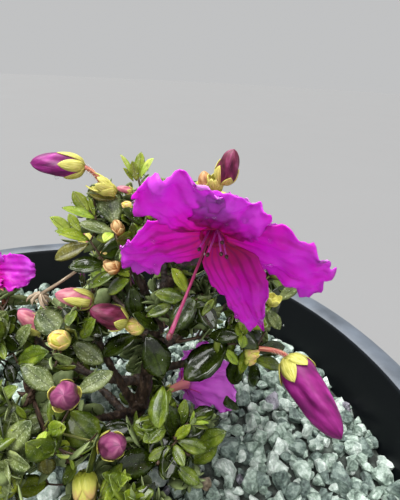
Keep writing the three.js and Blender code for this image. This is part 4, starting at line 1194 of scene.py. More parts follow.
class Foliage:
    """Heaps of leaves by kind, the twigs, and what a new leaf has to keep clear of."""

    def __init__(self):
        self.shapes = [leaf_shape(*form) for form in LEAF_FORMS]
        self.heaps = {kind: Heap() for kind in (*LEAF_KINDS, "young")}
        self.twigs = Heap()
        self.lines = []
        self.solid = blossom_heap()
        self.open_places = [(Vector(place), radius) for place, radius in OPEN_PLACES]
        for _mass, foot, tip, radius, _kind, _clasp in BUDS:
            self.open_places.append((Vector(foot).lerp(Vector(tip), 0.6), radius * 1.25))
            self.open_places.append((Vector(foot), radius * 0.8))

    def put(self, kind, leaf, shape, scale=1.0):
        points, faces, uvs, marks = shape
        length = leaf["length"] * scale
        turn = np.array([leaf["along"], leaf["side"] * leaf["width"], leaf["up"]])
        self.heaps[kind].add(points @ turn * length + np.array(leaf["root"]), faces, uvs, marks)

    def leading(self):
        """Leaves in their own places, each on a twig from the nearest wood."""
        for number, (root, tip, roll, width, kind) in enumerate(LEADING_LEAVES):
            leaf = leading_leaf(root, tip, roll, width)
            self.put(kind, leaf, self.shapes[number % len(self.shapes)])
            end, left, right = leaf_corners(leaf)
            self.solid.add([leaf["root"] + leaf["along"], left, end, right], [(0, 1, 2, 3)])
            middle = leaf["root"].lerp(Vector(tip), 0.5)
            self.open_places.append((middle + leaf["up"] * 1.2, leaf["length"] * 0.32))

    def close(self):
        """Readies the tests once all that leaves keep clear of is in place."""
        self.tree = self.solid.tree()
        self.starts = np.array([place for place, _radius in self.open_places])
        self.radii = np.array([radius for _place, radius in self.open_places])
        self.lines_out = (np.array(VIEWED_FROM) - self.starts) * OPEN_REACH
        self.squares = (self.lines_out ** 2).sum(axis=1)

    def in_the_way(self, points):
        """Whether a point stands before one of the places that stay open."""
        places = np.array(points)[:, None, :] - self.starts
        share = (places * self.lines_out).sum(axis=2) / self.squares
        off = np.linalg.norm(places - share[:, :, None] * self.lines_out, axis=2)
        return bool(((share > 0) & (share < 1) & (off < self.radii * (1 - OPEN_TAPER * share))).any())

    def fit(self, kind, name, leaf, shape):
        """Adds a leaf at full or short length if it stays in its mass's space and clear of the rest, and
        says whether it did."""
        for scale in (1.0, SHORT_LEAF):
            tip, left, right = leaf_corners(leaf, scale)
            if not in_space(name, [tip, left, right]):
                continue
            root = leaf["root"] + leaf["along"] * LEAF_STALK
            if self.in_the_way([root, root.lerp(tip, 0.5), tip, left, right]):
                continue
            flat = BVHTree.FromPolygons([root, left, tip, right], [(0, 1, 2, 3)])
            if not flat.overlap(self.tree):
                self.put(kind, leaf, shape, scale)
                return True
        return False

    def twig(self, foot, tip, thick, thin, draw):
        """A slightly bowed twig that swells at its tip, unless it would stand before an open place."""
        line = bowed(foot, tip, shake(draw) * (tip - foot).length * TWIG_BOW, TWIG_STEPS)
        if self.in_the_way(line[2:]):
            return
        radii = [mix(thick, thin, i / TWIG_STEPS) for i in range(TWIG_STEPS + 1)]
        radii[-1] *= TWIG_TIP_SWELL
        self.twigs.add(*tube(line, radii, TWIG_SIDES))
        self.lines.extend(line)

    def nearest_wood(self, place):
        return min(self.lines, key=lambda point: (point - place).length)


def blossom_heap():
    """A coarse heap of all blossom and of the stem, for leaves to keep clear of."""
    heap = Heap()
    for name, flower in FLOWERS.items():
        place = flower_frame(name)
        for lobe in flower.lobes:
            points, faces, _uvs = lobe_sheet(lobe, *COARSE_SHEET, 0.0, 0.0)
            heap.add([place @ Vector(point) for point in points], faces)
        line = [place @ Vector((0, 0, -TUBE_LENGTH)), place @ Vector((0, 0, 0))]
        heap.add(*tube(line, [1.5, 3], COARSE_SIDES)[:2])
    for _mass, foot, tip, radius, _kind, _clasp in BUDS:
        line = [Vector(foot).lerp(Vector(tip), i / 3) for i in range(4)]
        heap.add(*tube(line, [radius * 0.6, radius, radius * 0.9, radius * 0.3], COARSE_SIDES)[:2])
    shares = [i / COARSE_RINGS for i in range(COARSE_RINGS + 1)]
    line = [STEM.at_share(share) for share in shares]
    heap.add(*tube(line, [stem_radius(share) + CLEARANCE for share in shares], COARSE_SIDES)[:2])
    return heap


def drawn_leaf(sort, place, direction, turn, draw):
    """A leaf of the finer growth, its opening and its length drawn by its sort."""
    openings, lengths, width = LEAF_SORTS[sort]
    opening = mix(*openings, draw())
    return leaf_row(place, direction, turn, opening, mix(*lengths, draw()), width)


def side_shoot(shoot, draw):
    """A finer shoot that breaks from a main one, with its own small whorl."""
    foot = shoot["foot"].lerp(shoot["tip"], mix(*SIDE_SHOOT_PLACES, draw()))
    direction = leaning(shoot["direction"], draw() * TURN, mix(*SIDE_SHOOT_LEANS, draw()))
    tip = foot + direction * mix(*SIDE_SHOOT_LENGTHS, draw())
    leaves = [
        drawn_leaf("side", tip, direction, TURN * (i / SIDE_LEAVES + draw() * 0.06), draw)
        for i in range(SIDE_LEAVES)]
    return {"foot": foot, "tip": tip, "direction": direction, "leaves": leaves}


def make_foliage():
    """Twigs and leaves of every mass, by the source's rule and finer, round the leading leaves."""
    foliage = Foliage()
    foliage.leading()
    foliage.close()
    for name, (heart, _reach, _shoots, seed, height, _sag, shades) in MASSES.items():
        draw = draws(SPRAY_SEED + seed)
        carrier = bough_line(name)[-1] if height is not None else STEM.at_share(1)
        foliage.twig(carrier, Vector(heart), *CARRIER_TWIG, draw)
        bag = [kind for kind, share in zip(LEAF_KINDS, shades) for _ in range(share)]
        for shoot in main_shoots(name, size_of("leaf_length")):
            if in_space(name, [shoot["tip"]]):
                grow_spray(foliage, name, shoot, bag, draw)
    for number, (name, count) in enumerate(SHADE_LEAVES.items()):
        fill_shade(foliage, name, count, draws(SHADE_SEED + number))
    draw = draws(TWIG_SEED)
    for foot, tip in YOUNG_SHOOTS:
        low, high = YOUNG_SHOOT_TWIGS
        foliage.twig(foliage.nearest_wood(Vector(foot)), Vector(foot), *low, draw)
        foliage.twig(Vector(foot), Vector(tip), *high, draw)
    for root, *_rest in LEADING_LEAVES:
        foliage.twig(foliage.nearest_wood(Vector(root)), Vector(root), *LEAF_TWIG, draw)
    finish_foliage(foliage)


def grow_spray(foliage, name, shoot, bag, draw):
    """One main shoot with its whorl, the leaves below it, its side shoots and their youngest leaves."""
    spray = pick(bag, draw)
    below = []
    for k in range(LEAVES_BELOW):
        foot = shoot["foot"].lerp(shoot["tip"], mix(0.35, 0.95, (k + draw()) / LEAVES_BELOW))
        below.append(drawn_leaf("below", foot, shoot["direction"], k * GOLDEN_ANGLE + draw(), draw))
    family = [(shoot, shoot["leaves"] + below, MAIN_TWIG)]
    for _ in range(SIDE_SHOOTS):
        side = side_shoot(shoot, draw)
        if in_space(name, [side["tip"]]):
            family.append((side, side["leaves"], SIDE_TWIG))
    for branch, leaves, radii in family:
        placed = 0
        for leaf in leaves:
            kind = spray if draw() < SAME_KIND else pick(bag, draw)
            leaf["width"] *= mix(*SPRAY_WIDTHS, draw())
            leaf["length"] *= LEAF_SHARE
            placed += foliage.fit(kind, name, leaf, pick(foliage.shapes, draw))
        young = "young" if spray == "bright" or draw() < YOUNG_MIDDLE else spray
        bud = branch["tip"] + branch["direction"] * 0.6
        for k in range(YOUNG_LEAVES):
            turn = TURN * (k / YOUNG_LEAVES + draw() * 0.1)
            leaf = drawn_leaf("young", bud, branch["direction"], turn, draw)
            placed += foliage.fit(young, name, leaf, foliage.shapes[FOLDED_FORM])
        if placed:
            foliage.twig(branch["foot"], branch["tip"], *radii, draw)
    # Old leaves deep in the spray, in the shade of the rest
    for k in range(DEEP_LEAVES):
        foot = shoot["foot"].lerp(shoot["tip"], mix(0.0, 0.9, (k + draw()) / DEEP_LEAVES))
        leaf = drawn_leaf("deep", foot, shoot["direction"], draw() * TURN, draw)
        foliage.fit("dark", name, leaf, pick(foliage.shapes, draw))


def fill_shade(foliage, name, count, draw):
    """Old leaves in the lower part of a mass, each on a short twig from the nearest wood."""
    heart, reach = Vector(MASSES[name].heart), MASSES[name].reach
    for _ in range(count):
        outward = turned_from(Vector((0, 0, 1)), draw() * TURN)
        out = reach * 0.85 * math.sqrt(draw())
        root = heart + outward * out - Vector((0, 0, reach * draw() * 0.9))
        direction = leaning(outward, draw() * TURN, 0.5)
        leaf = drawn_leaf("shade", root, direction, draw() * TURN, draw)
        kind = "dark" if draw() < DARK_SHADE else "green"
        if foliage.fit(kind, name, leaf, pick(foliage.shapes, draw)):
            foliage.twig(foliage.nearest_wood(root), root, *LEAF_TWIG, draw)


def finish_foliage(foliage):
    """Makes the pieces of leaves and twigs."""
    # The matt underside of a leaf, paler and slightly hairy
    under = grainy("leaf underside", [(0.35, "#6d7d49"), (0.7, "#97a56f")], 3, 1, 0.1, Roughness=0.7)
    crowns = list(MASSES)
    for kind, heap in foliage.heaps.items():
        skin = leaf_skin(f"wet {kind} leaf", *LEAF_TINTS[kind])
        piece_from(f"leaves_{kind}", heap, [skin, under], crowns if kind == "green" else ())
    # Bark of this and last year's twigs, wet: smooth, brown and hardly streaked
    bark = streaked_skin("young twig bark", "#261a12", "#463224", "#6c5038", 3, Roughness=0.6)
    piece_from("twigs", foliage.twigs, [bark], crowns)


# Blossom

# Columns and rows of a lobe's sheet: the front flower's, the others', and the coarse one of the tests
FINE_SHEET = (34, 28)
USUAL_SHEET = (26, 20)
COARSE_SHEET = (6, 6)
COARSE_SIDES = 8
COARSE_RINGS = 16

# The edge and folds of a lobe
SIDE_TEETH = 1.7
END_TEETH = 1.3
LOBE_START = 0.6
LOBE_DROP = 0.8
CORNER_ROUNDING = 0.14
MIDDLE_FOLD = 0.8
PLEATS = 0.32

# The corolla's tube as radius and height pairs
TUBE_SECTION = ((1.1, -15), (1.2, -12.5), (1.4, -9), (1.7, -5), (2.1, -2), (2.6, -0.6), (3.3, 0.1))
TUBE_SIDES = 40
TUBE_WAVES = 0.05

# Filaments, anthers, styles and stigmas: steps of their lines, where they start, and their radii
FILAMENT_STEPS = 7
FILAMENT_RING = 1.2
FILAMENT_START = -8
ANTHER_RADII = (0.25, 0.5, 0.2)
STYLE_STEPS = 12
STYLE_START = (0, -0.5, -9)
STYLE_RADII = (*[0.36] * 9, 0.4, 0.45, 0.5, 0.6)
STIGMA_STEPS = (-0.4, 0.3, 1.0, 1.4)
STIGMA_RADII = (0.5, 0.7, 0.62, 0.2)

# Furled buds: rings, sides, petals, and creases by turn from the side that faces the camera, and depth
BUD_RINGS = 18
BUD_SIDES = 36
BUD_PETALS = 3
BUD_CREASES = ((0.25, 0.2), (2.5, 0.15), (4.3, 0.15))
CREASE_WIDTH = 0.34
BUD_DENTS = 0.06

# Scales and sepals: rows and columns of a sheet, how many stand in a ring or tuft, and their thickness
SCALE_SHEET = (7, 4)
RING_SCALES = 4
CALYX_SEPALS = 5
TUFT_SCALES = 8
SCALE_THICKNESS = 0.2
SEPAL_THICKNESS = 0.25

# Stalks and their hairs
STALK_STEPS = 10
STALK_TAPER = 0.012
STALK_HAIRS = 90
HAIR_LENGTH = 0.75
BUD_STALK = 0.5
FLOWER_STALK = 0.85
VIOLET_STALKS = (0.6, 0.9)
LARGEST_BUD = 6.4


def flower_frame(name):
    """Matrix from a flower's own frame to the plant's: X right, Y up, Z out of the throat."""
    throat, facing, up = (Vector(row) for row in FLOWERS[name][:3])
    out = facing.normalized()
    right = up.cross(out).normalized()
    rise = out.cross(right)
    return Matrix.Translation(throat) @ Matrix((right, rise, out)).transposed().to_4x4()


def lobe_sheet(lobe, columns, rows, ruffle, seed):
    """One lobe of a corolla as a grid in the flower's frame, with a toothed and ruffled edge."""
    bearing, length, rise, before, after, roll, curl = lobe
    sine, cosine = math.sin(math.radians(bearing)), math.cos(math.radians(bearing))
    rough = min(ruffle, 1.0)
    points, uvs = [], []
    for r in range(rows + 1):
        t = r / rows
        for c in range(columns + 1):
            u = 2 * c / columns - 1
            half = np.interp(t, LOBE_STATIONS, (LOBE_FOOT, *(before if u < 0 else after)))
            near_side, near_end = abs(u) ** 4, smooth((t - 0.7) / 0.3)
            teeth = noise.noise(Vector((u * 2.2, t * 5, seed)))
            teeth += 0.6 * noise.noise(Vector((u * 6, t * 13, seed)))
            side = u * (half + SIDE_TEETH * rough * teeth * near_side * smooth(t * 3))
            corner = 1 - CORNER_ROUNDING * abs(u) ** 2.6 * smooth(t)
            forward = mix(THROAT_RADIUS - LOBE_START, length, t) * corner
            forward += END_TEETH * rough * teeth * near_end
            edge = max(near_side, near_end) * t
            crumple = noise.noise(Vector((side * 0.24, forward * 0.24, seed)))
            fine = noise.noise(Vector((side * 0.62, forward * 0.62, seed + 9)))
            fold = -MIDDLE_FOLD * rough * math.exp(-(u / 0.12) ** 2) * math.sin(math.pi * t)
            height = mix(-LOBE_DROP, rise, 1 - (1 - t) ** 2) - curl * smooth((t - 0.6) / 0.4) ** 2
            height += fold + roll * side * t + 0.02 * side * side * (1 - t)
            height += ruffle * (crumple * (0.6 + 1.3 * edge) + 0.5 * fine * (0.4 + edge)) * smooth(t * 2.5)
            height += PLEATS * ruffle * noise.noise(Vector((u * 3.4, t * 0.9, seed + 4))) * smooth(t * 3)
            points.append((forward * cosine - side * sine, forward * sine + side * cosine, height))
            uvs.append((c / columns, t))
    faces = [tuple(reversed(face)) for face in grid_faces(rows, columns)]
    return points, faces, uvs


def flower_sheets(name):
    """The lobes of an open flower as ruffled sheets in its own frame."""
    number = list(FLOWERS).index(name)
    grid = FINE_SHEET if name == "front" else USUAL_SHEET
    return [lobe_sheet(lobe, *grid, size_of("petal_ruffle"), 3.7 * i + 20 * number)
            for i, lobe in enumerate(FLOWERS[name].lobes)]


def funnel():
    """The corolla's tube, from the calyx to the flared throat."""
    points, uvs = [], []
    for i, (radius, height) in enumerate(TUBE_SECTION):
        for k in range(TUBE_SIDES):
            turn = TURN * k / TUBE_SIDES
            wavy = radius * (1 + TUBE_WAVES * math.cos(5 * turn))
            points.append((wavy * math.cos(turn), wavy * math.sin(turn), height))
            uvs.append((k / TUBE_SIDES * 5, 0.16 * i - 1))
    faces = grid_faces(len(TUBE_SECTION) - 1, TUBE_SIDES, closed=True)
    return points, [tuple(reversed(face)) for face in faces], uvs


def thicken(piece, thickness, back=0):
    """Turns a sheet into a thin closed shell; its back takes the material that many slots on."""
    take(piece)
    shell = piece.modifiers.new("thickness", "SOLIDIFY")
    shell.thickness = thickness * MM
    shell.offset = 0
    shell.material_offset = back
    bpy.ops.object.modifier_apply(modifier=shell.name)


def make_corollas():
    """The open flowers: a tube and five ruffled lobes each, given the petals' thickness."""
    front, back = petal_skin(), petal_back()
    for name in FLOWERS:
        place = flower_frame(name)
        heap = Heap()
        for points, faces, uvs in [*flower_sheets(name), funnel()]:
            heap.add([place @ Vector(point) for point in points], faces, uvs)
        corolla = piece_from(f"corolla_{name}", heap, [front, back])
        thicken(corolla, size_of("petal_thickness"), back=1)


def make_stamens():
    """Filaments with their anthers, and the long style with its stigma, in each open flower."""
    filaments, anthers, styles, stigmas = Heap(), Heap(), Heap(), Heap()
    for number, name in enumerate(FLOWERS):
        draw = draws(STAMEN_SEED + number)
        place = flower_frame(name)
        for k, spot in enumerate(ANTHER_PLACES):
            turn = TURN * k / 5 + 0.5
            root = Vector((FILAMENT_RING * math.cos(turn), FILAMENT_RING * math.sin(turn), FILAMENT_START))
            tip = Vector(spot) + shake(draw)
            line = [place @ point for point in bowed(root, tip, Vector((0, -0.8, 0)), FILAMENT_STEPS)]
            filaments.add(*tube(line, [0.3 - 0.012 * i for i in range(FILAMENT_STEPS + 1)], 6))
            end, ahead = end_of(line)
            anthers.add(*tube([end - ahead * 0.7, end, end + ahead * 0.8], ANTHER_RADII, 8))
        tip = Vector(STYLE_TIPS.get(name, OTHER_STYLE_TIP))
        line = [place @ point for point in bowed(Vector(STYLE_START), tip, Vector((0, -1.2, 0)), STYLE_STEPS)]
        styles.add(*tube(line, STYLE_RADII, 8))
        end, ahead = end_of(line)
        stigmas.add(*tube([end + ahead * step for step in STIGMA_STEPS], STIGMA_RADII, 10))
    kinds = [
        # Moist living threads, rosy violet with faint streaks
        ("filaments", filaments, ("filament", "#9a1f80", "#bd3fa8", "#d675cc"), "petals"),
        # The style, crimson and smooth
        ("styles", styles, ("rosy style", "#7a1c44", "#94305a", "#aa4a72"), "petals"),
        # The sticky knob at its end, brown red
        ("stigmas", stigmas, ("stigma", "#4c2024", "#6c3438", "#865250"), "petals"),
        # Anthers that have shed their pollen, dry and dark brown
        ("anthers", anthers, ("dark anther", "#1f100c", "#3c2118", "#5b3826"), "withered"),
    ]
    for name, heap, tints, slot in kinds:
        piece_from(name, heap, [streaked_skin(*tints, streaks=2)])


def bud_profile(s):
    """A bud's radius as a share of its widest, along its length."""
    base = math.sqrt(1 - (1 - min(s / 0.34, 1)) ** 2)
    return (0.2 + 0.8 * base) * max(1 - s ** 3.6, 0) ** 0.66


def bud_shape(foot, tip, radius, seed, furled=True):
    """A furled bud: petals folded round each other that turn round its line to a blunt point, with a crease
    towards the camera and two behind. A bud of scales is plain and gets its scales on top."""
    ahead = (tip - foot).normalized()
    side, rise = across(ahead)
    towards = VIEWED_FROM - foot
    viewer = math.atan2(towards.dot(rise), towards.dot(side))
    points, uvs = [], []
    for r in range(BUD_RINGS + 1):
        s = r / BUD_RINGS
        hollow = smooth((s - 0.1) / 0.22) * smooth((0.86 - s) / 0.3)
        for k in range(BUD_SIDES):
            turn = TURN * k / BUD_SIDES
            edge = (BUD_PETALS * turn / TURN + 0.7 * s + seed) % 1.0
            fold = 0.88 + 0.15 * edge ** 0.6 if furled else 1.0
            for place, depth in BUD_CREASES if furled else ():
                off = (turn - viewer - place - 0.5 * s + math.pi) % TURN - math.pi
                fold -= depth * hollow * math.exp(-(off / CREASE_WIDTH) ** 2)
            spot = Vector((math.cos(turn) * 1.4, math.sin(turn) * 1.4, s * 2.5 + seed * 7))
            dent = BUD_DENTS * noise.noise(spot)
            out = radius * max(bud_profile(s), 0.03) * (mix(1.0, fold, smooth(s * 4)) + dent)
            points.append(foot + (tip - foot) * s + (side * math.cos(turn) + rise * math.sin(turn)) * out)
            uvs.append((k / BUD_SIDES * 2.5 + 0.5 * s, s))
    faces = grid_faces(BUD_RINGS, BUD_SIDES, closed=True)
    faces.append(tuple(reversed(range(BUD_SIDES))))
    faces.append(tuple(range(BUD_RINGS * BUD_SIDES, (BUD_RINGS + 1) * BUD_SIDES)))
    return points, faces, uvs


def scale_sheet(foot, ahead, turn, length, width, surface, flare):
    """A narrow scale or sepal on a surface, given as radius by share, with its tip turned out."""
    side = turned_from(ahead, turn)
    beside = ahead.cross(side)
    rows, columns = SCALE_SHEET
    points, uvs = [], []
    for r in range(rows + 1):
        s = r / rows
        half = width * math.sin(math.pi * min(0.18 + 0.82 * s, 1)) ** 0.8 + 0.05
        out = surface(s) + 0.12 + flare * s ** 3
        for c in range(columns + 1):
            reach = (2 * c / columns - 1) * half
            drop = out - math.sqrt(max(out * out - reach * reach, 0.2))
            points.append(foot + ahead * (length * s) + side * (out - drop) + beside * reach)
            uvs.append((c / columns, s))
    return points, grid_faces(rows, columns), uvs


def scale_bud(heap, foot, ahead, span, radius, draw):
    """Two rings of scales that overlap round a bud."""
    for k in range(2 * RING_SCALES):
        outer = k // RING_SCALES
        reach = mix(0.98, 0.66, outer) * mix(0.92, 1.02, draw())
        turn = TURN * (k + 0.5 * outer) / RING_SCALES + draw() * 0.3
        heap.add(*scale_sheet(
            foot, ahead, turn, span * reach, radius * 0.82,
            lambda s: radius * (bud_profile(min(s * reach, 0.97)) * (1.02 + 0.07 * outer)), radius * 0.06))


def clasp_bud(heap, foot, ahead, span, radius, clasp, draw):
    """A ring of sepals that clasp the lower part of a bud."""
    for k in range(CALYX_SEPALS):
        reach = clasp * mix(0.75, 1.25, draw())
        turn = TURN * k / CALYX_SEPALS + draw() * 0.4
        heap.add(*scale_sheet(
            foot, ahead, turn, span * reach, radius * 0.46,
            lambda s: radius * bud_profile(s * reach) * 1.02, radius * mix(-0.05, 0.12, draw())))


BUD_TINTS = {
    "violet": ("#4c0640", "#7e1066", "#ac3494"), "plum": ("#5c2246", "#863c66", "#a86684"),
    "wine": ("#3a1020", "#6c243e", "#9c4c70"), "rose": ("#96465a", "#ba6a7a", "#d49a98"),
    "yellow": ("#a8a030", "#cfc74e", "#eae48c"), "brown": ("#8c5a36", "#b88a5a", "#d4ba80"),
}
# Buds of overlapping scales: tints of a scale from its foot to its tip
SCALE_TINTS = {"yellow": ("#a6ac3c", "#dcd86c", "#e2bc7c"), "brown": ("#40180c", "#b0703c", "#e6c088")}


def make_buds():
    """Closed buds by colour, their clasping sepals, and the stalks under buds and flowers."""
    heaps = {kind: Heap() for kind in BUD_TINTS}
    scales = {kind: Heap() for kind in SCALE_TINTS}
    sepals, stalks, plain_stalks, hairs = Heap(), Heap(), Heap(), Heap()
    draw = draws(BUD_SEED)
    for mass, foot, tip, radius, kind, clasp in BUDS:
        foot, tip = Vector(foot), Vector(tip)
        scaly = kind in SCALE_TINTS
        heaps[kind].add(*bud_shape(foot, tip, radius, draw(), not scaly))
        ahead, span = (tip - foot).normalized(), (tip - foot).length
        if clasp:
            clasp_bud(sepals, foot, ahead, span, radius, clasp, draw)
        elif scaly:
            scale_bud(scales[kind], foot, ahead, span, radius, draw)
        heart = Vector(MASSES[mass].heart)
        if kind == "violet":
            thick = mix(*VIOLET_STALKS, radius / LARGEST_BUD)
            add_stalk(stalks, hairs, heart, foot + ahead * 0.6, ahead, thick)
        else:
            add_stalk(plain_stalks, None, heart, foot + ahead * 0.6, ahead, BUD_STALK)
    for name, flower in FLOWERS.items():
        place = flower_frame(name)
        foot = place @ Vector((0, 0, FLOWER_FOOT_OVERLAP - TUBE_LENGTH))
        out = (place.to_3x3() @ Vector((0, 0, 1))).normalized()
        for k in range(CALYX_SEPALS):
            sepals.add(*scale_sheet(
                foot - out * 0.6, out, TURN * k / CALYX_SEPALS, 5.0, 1.1, lambda s: 1.3 + 0.5 * s, 0.5))
        add_stalk(stalks, hairs, Vector(MASSES[flower.mass].heart), foot, out, FLOWER_STALK)
    for spot, direction, length in SCALE_TUFTS:
        ahead = Vector(direction).normalized()
        for k in range(TUFT_SCALES):
            sepals.add(*scale_sheet(
                Vector(spot), ahead, k * GOLDEN_ANGLE, length * mix(0.5, 1, draw()), 1.9,
                lambda s: 0.4 + 1.9 * math.sin(math.pi * s * 0.75), 0.4))
    for kind, shades in BUD_TINTS.items():
        # Petals still furled, or what shows between the scales: dull and faintly streaked
        skin = streaked_skin(f"furled {kind} bud", *shades, 1.5, Roughness=0.5, Coat_Weight=0.05)
        piece_from(f"buds_{kind}", heaps[kind], [skin])
    for kind, shades in SCALE_TINTS.items():
        # Papery scales, darker at the foot and pale at the tip
        skin = streaked_skin(f"{kind} bud scale", *shades, 3, 0.6, Roughness=0.5, Coat_Weight=0.1)
        thicken(piece_from(f"scales_{kind}", scales[kind], [skin]), SCALE_THICKNESS)
    # Sepals and the scales of the tufts: soft, yellow-green and finely streaked
    skin = streaked_skin("bud scale", "#96933e", "#c4bf5a", "#ded98a", 4, Roughness=0.55, Coat_Weight=0.1)
    thicken(piece_from("sepals", sepals, [skin]), SEPAL_THICKNESS)
    small = [
        # Flower stalks, fleshy and rosy, with the light in their hairs
        ("flower_stalks", stalks, ("hairy red stalk", "#8f3b36", "#bf6a5c", "#dca27c", 3)),
        # Bud stalks, green and smooth
        ("bud_stalks", plain_stalks, ("green bud stalk", "#57602a", "#848a44", "#a8a864", 3)),
        # The hairs on the stalks, nearly white
        ("stalk_hairs", hairs, ("pale stalk hair", "#d9c3ae", "#e8d9c8", "#f4ece0", 1)),
    ]
    for name, heap, looks in small:
        piece_from(name, heap, [streaked_skin(*looks, Roughness=0.6)])


def add_stalk(stalks, hairs, heart, foot, ahead, thick):
    """A stalk from a mass's heart that arrives in line with what it bears, with hairs on its outer half."""
    line = arc(heart, foot - ahead * (foot - heart).length * 0.25, foot, STALK_STEPS)
    radii = [thick - STALK_TAPER * i for i in range(STALK_STEPS)] + [thick * 1.25]
    stalks.add(*tube(line, radii, 8))
    if hairs is None:
        return
    half = STALK_STEPS // 2
    for i in range(STALK_HAIRS):
        place = half + half * (i + 0.5) / STALK_HAIRS
        base = line[int(place)].lerp(line[min(int(place) + 1, STALK_STEPS)], place % 1)
        out = turned_from(ahead, i * GOLDEN_ANGLE)
        end = base + out * (thick + HAIR_LENGTH) + ahead * 0.35
        hairs.add(*tube([base + out * thick * 0.8, end], [0.07, 0.02], 3))


def add_valves(heap, foot, ahead, count, leans, lengths, bow, radii, draw):
    """Dry valves that have split apart and curl away from a point."""
    for k in range(count):
        turn = k * GOLDEN_ANGLE
        direction = leaning(ahead, turn, mix(*leans, draw()))
        tip = foot + direction * mix(*lengths, draw())
        curve = bowed(foot, tip, turned_from(ahead, turn + 1) * bow, len(radii) - 1)
        heap.add(*tube(curve, radii, 6))


def make_dead_parts():
    """The withered stalk and its dry seed head, which has split into curled valves, and an old husk."""
    heap, dark = Heap(), Heap()
    draw = draws(DEAD_SEED)
    line = [Vector(MASSES[DEAD_MASS].heart)] + [Vector(point) for point in DEAD_STALK]
    heap.add(*tube(line, [0.7, 0.6, 0.5, 0.5, 0.65], 7))
    foot = line[-1]
    ahead = (Vector(DEAD_HEAD) - foot).normalized()
    add_valves(heap, foot, ahead, 8, (0.25, 1.25), (3.5, 7), 1.2, (0.5, 0.75, 0.6, 0.7, 0.35, 0.1), draw)
    husk, lean_to = Vector(OLD_HUSK), Vector((-0.6, -0.5, 0.5)).normalized()
    dark.add(*tube([Vector(MASSES[HUSK_MASS].heart), husk], [0.8, 0.6], 7))
    add_valves(dark, husk, lean_to, 9, (0.3, 1.3), (3, 6), 0.9, (0.7, 1.0, 0.9, 0.5, 0.15), draw)
    # Dead tissue, bleached: matt and fibrous
    skin = streaked_skin(
        "dry seed head", "#5c4c3c", "#94826c", "#c8baa4", 3, Roughness=0.85, Coat_Weight=0.0)
    piece_from("withered_stalk", heap, [skin])
    # Dead tissue that is still damp: dark brown, matt and fibrous
    skin = streaked_skin("dark husk", "#1c130e", "#3d2b20", "#6a5240", 3, Roughness=0.85, Coat_Weight=0.0)
    piece_from("old_husk", dark, [skin])


# How many drops lie on a petal and on a leading leaf, and the radii of large and small ones
PETAL_DROPS = 4
LEAF_DROPS = 3
LARGE_DROPS = (0.4, 0.9)
SMALL_DROPS = (0.15, 0.42)
# Drops keep to the points of a lobe's sheet between its foot and its edge
DROP_FIRST = 300
DROP_LAST = 120


def make_drops():
    """Rain drops that lie on petals and leading leaves and hang under buds."""
    heap = Heap()
    draw = draws(DROP_SEED)
    place = flower_frame("front")
    for points, _faces, _uvs in flower_sheets("front"):
        for _ in range(PETAL_DROPS):
            point = Vector(points[int(mix(DROP_FIRST, len(points) - DROP_LAST, draw()))])
            heap.add(*ball(place @ (point + Vector((0, 0, 0.3))), mix(*LARGE_DROPS, draw())))
    for _mass, foot, tip, radius, _kind, _clasp in BUDS:
        low = Vector(foot).lerp(Vector(tip), 0.55) - Vector((0, 0, radius))
        heap.add(*ball(low, mix(*LARGE_DROPS, draw())))
    for root, tip, roll, width, _kind in LEADING_LEAVES:
        leaf = leading_leaf(root, tip, roll, width)
        for _ in range(LEAF_DROPS):
            middle = leaf["root"].lerp(Vector(tip), mix(0.3, 0.9, draw()))
            spot = middle + leaf["side"] * (mix(-0.3, 0.3, draw()) * width * 10)
            heap.add(*ball(spot + leaf["up"] * 0.25, mix(*SMALL_DROPS, draw()), detail=1))
    # Rain water: clear, smooth and round
    material, tree, sockets = start_material("rain water", Roughness=0.02, IOR=1.33, Transmission_Weight=1.0)
    place = add_node(tree, "ShaderNodeTexCoord").outputs["Object"]
    ripple = add_node(tree, "ShaderNodeTexNoise", {"Vector": place, "Scale": per_mm(3)})
    tint = add_node(tree, "ShaderNodeValToRGB", {"Fac": ripple.outputs["Fac"]}, [
        (0.0, "#f4f8f8"), (1.0, "#ffffff")])
    tree.links.new(tint.outputs["Color"], sockets["Base Color"])
    piece_from("rain_drops", heap, [material])


# Stage

def add_light(kind, name, place, direction, energy):
    """A light of a kind that shines in a direction."""
    bpy.ops.object.light_add(type=kind, location=place)
    light = bpy.context.object
    light.name = name
    light.data.energy = energy
    light.rotation_mode = "QUATERNION"
    light.rotation_quaternion = direction.to_track_quat("-Z", "Y")
    return light.data


def add_camera():
    """The camera at the photograph's place and angle."""
    pitch, roll = math.radians(CAMERA_PITCH), math.radians(CAMERA_ROLL)
    forward = Vector((0, math.cos(pitch), -math.sin(pitch)))
    upright = Vector((0, math.sin(pitch), math.cos(pitch)))
    level = Vector((1, 0, 0))
    right = level * math.cos(roll) + upright * math.sin(roll)
    up = upright * math.cos(roll) - level * math.sin(roll)
    data = bpy.data.cameras.new("view")
    data.lens = CAMERA_LENS
    data.sensor_width = CAMERA_SENSOR
    data.clip_start = 0.005
    camera = bpy.data.objects.new("view", data)
    turn = Matrix((right, up, -forward)).transposed().to_4x4()
    camera.matrix_world = Matrix.Translation(CAMERA_PLACE) @ turn
    bpy.context.collection.objects.link(camera)
    bpy.context.scene.camera = camera


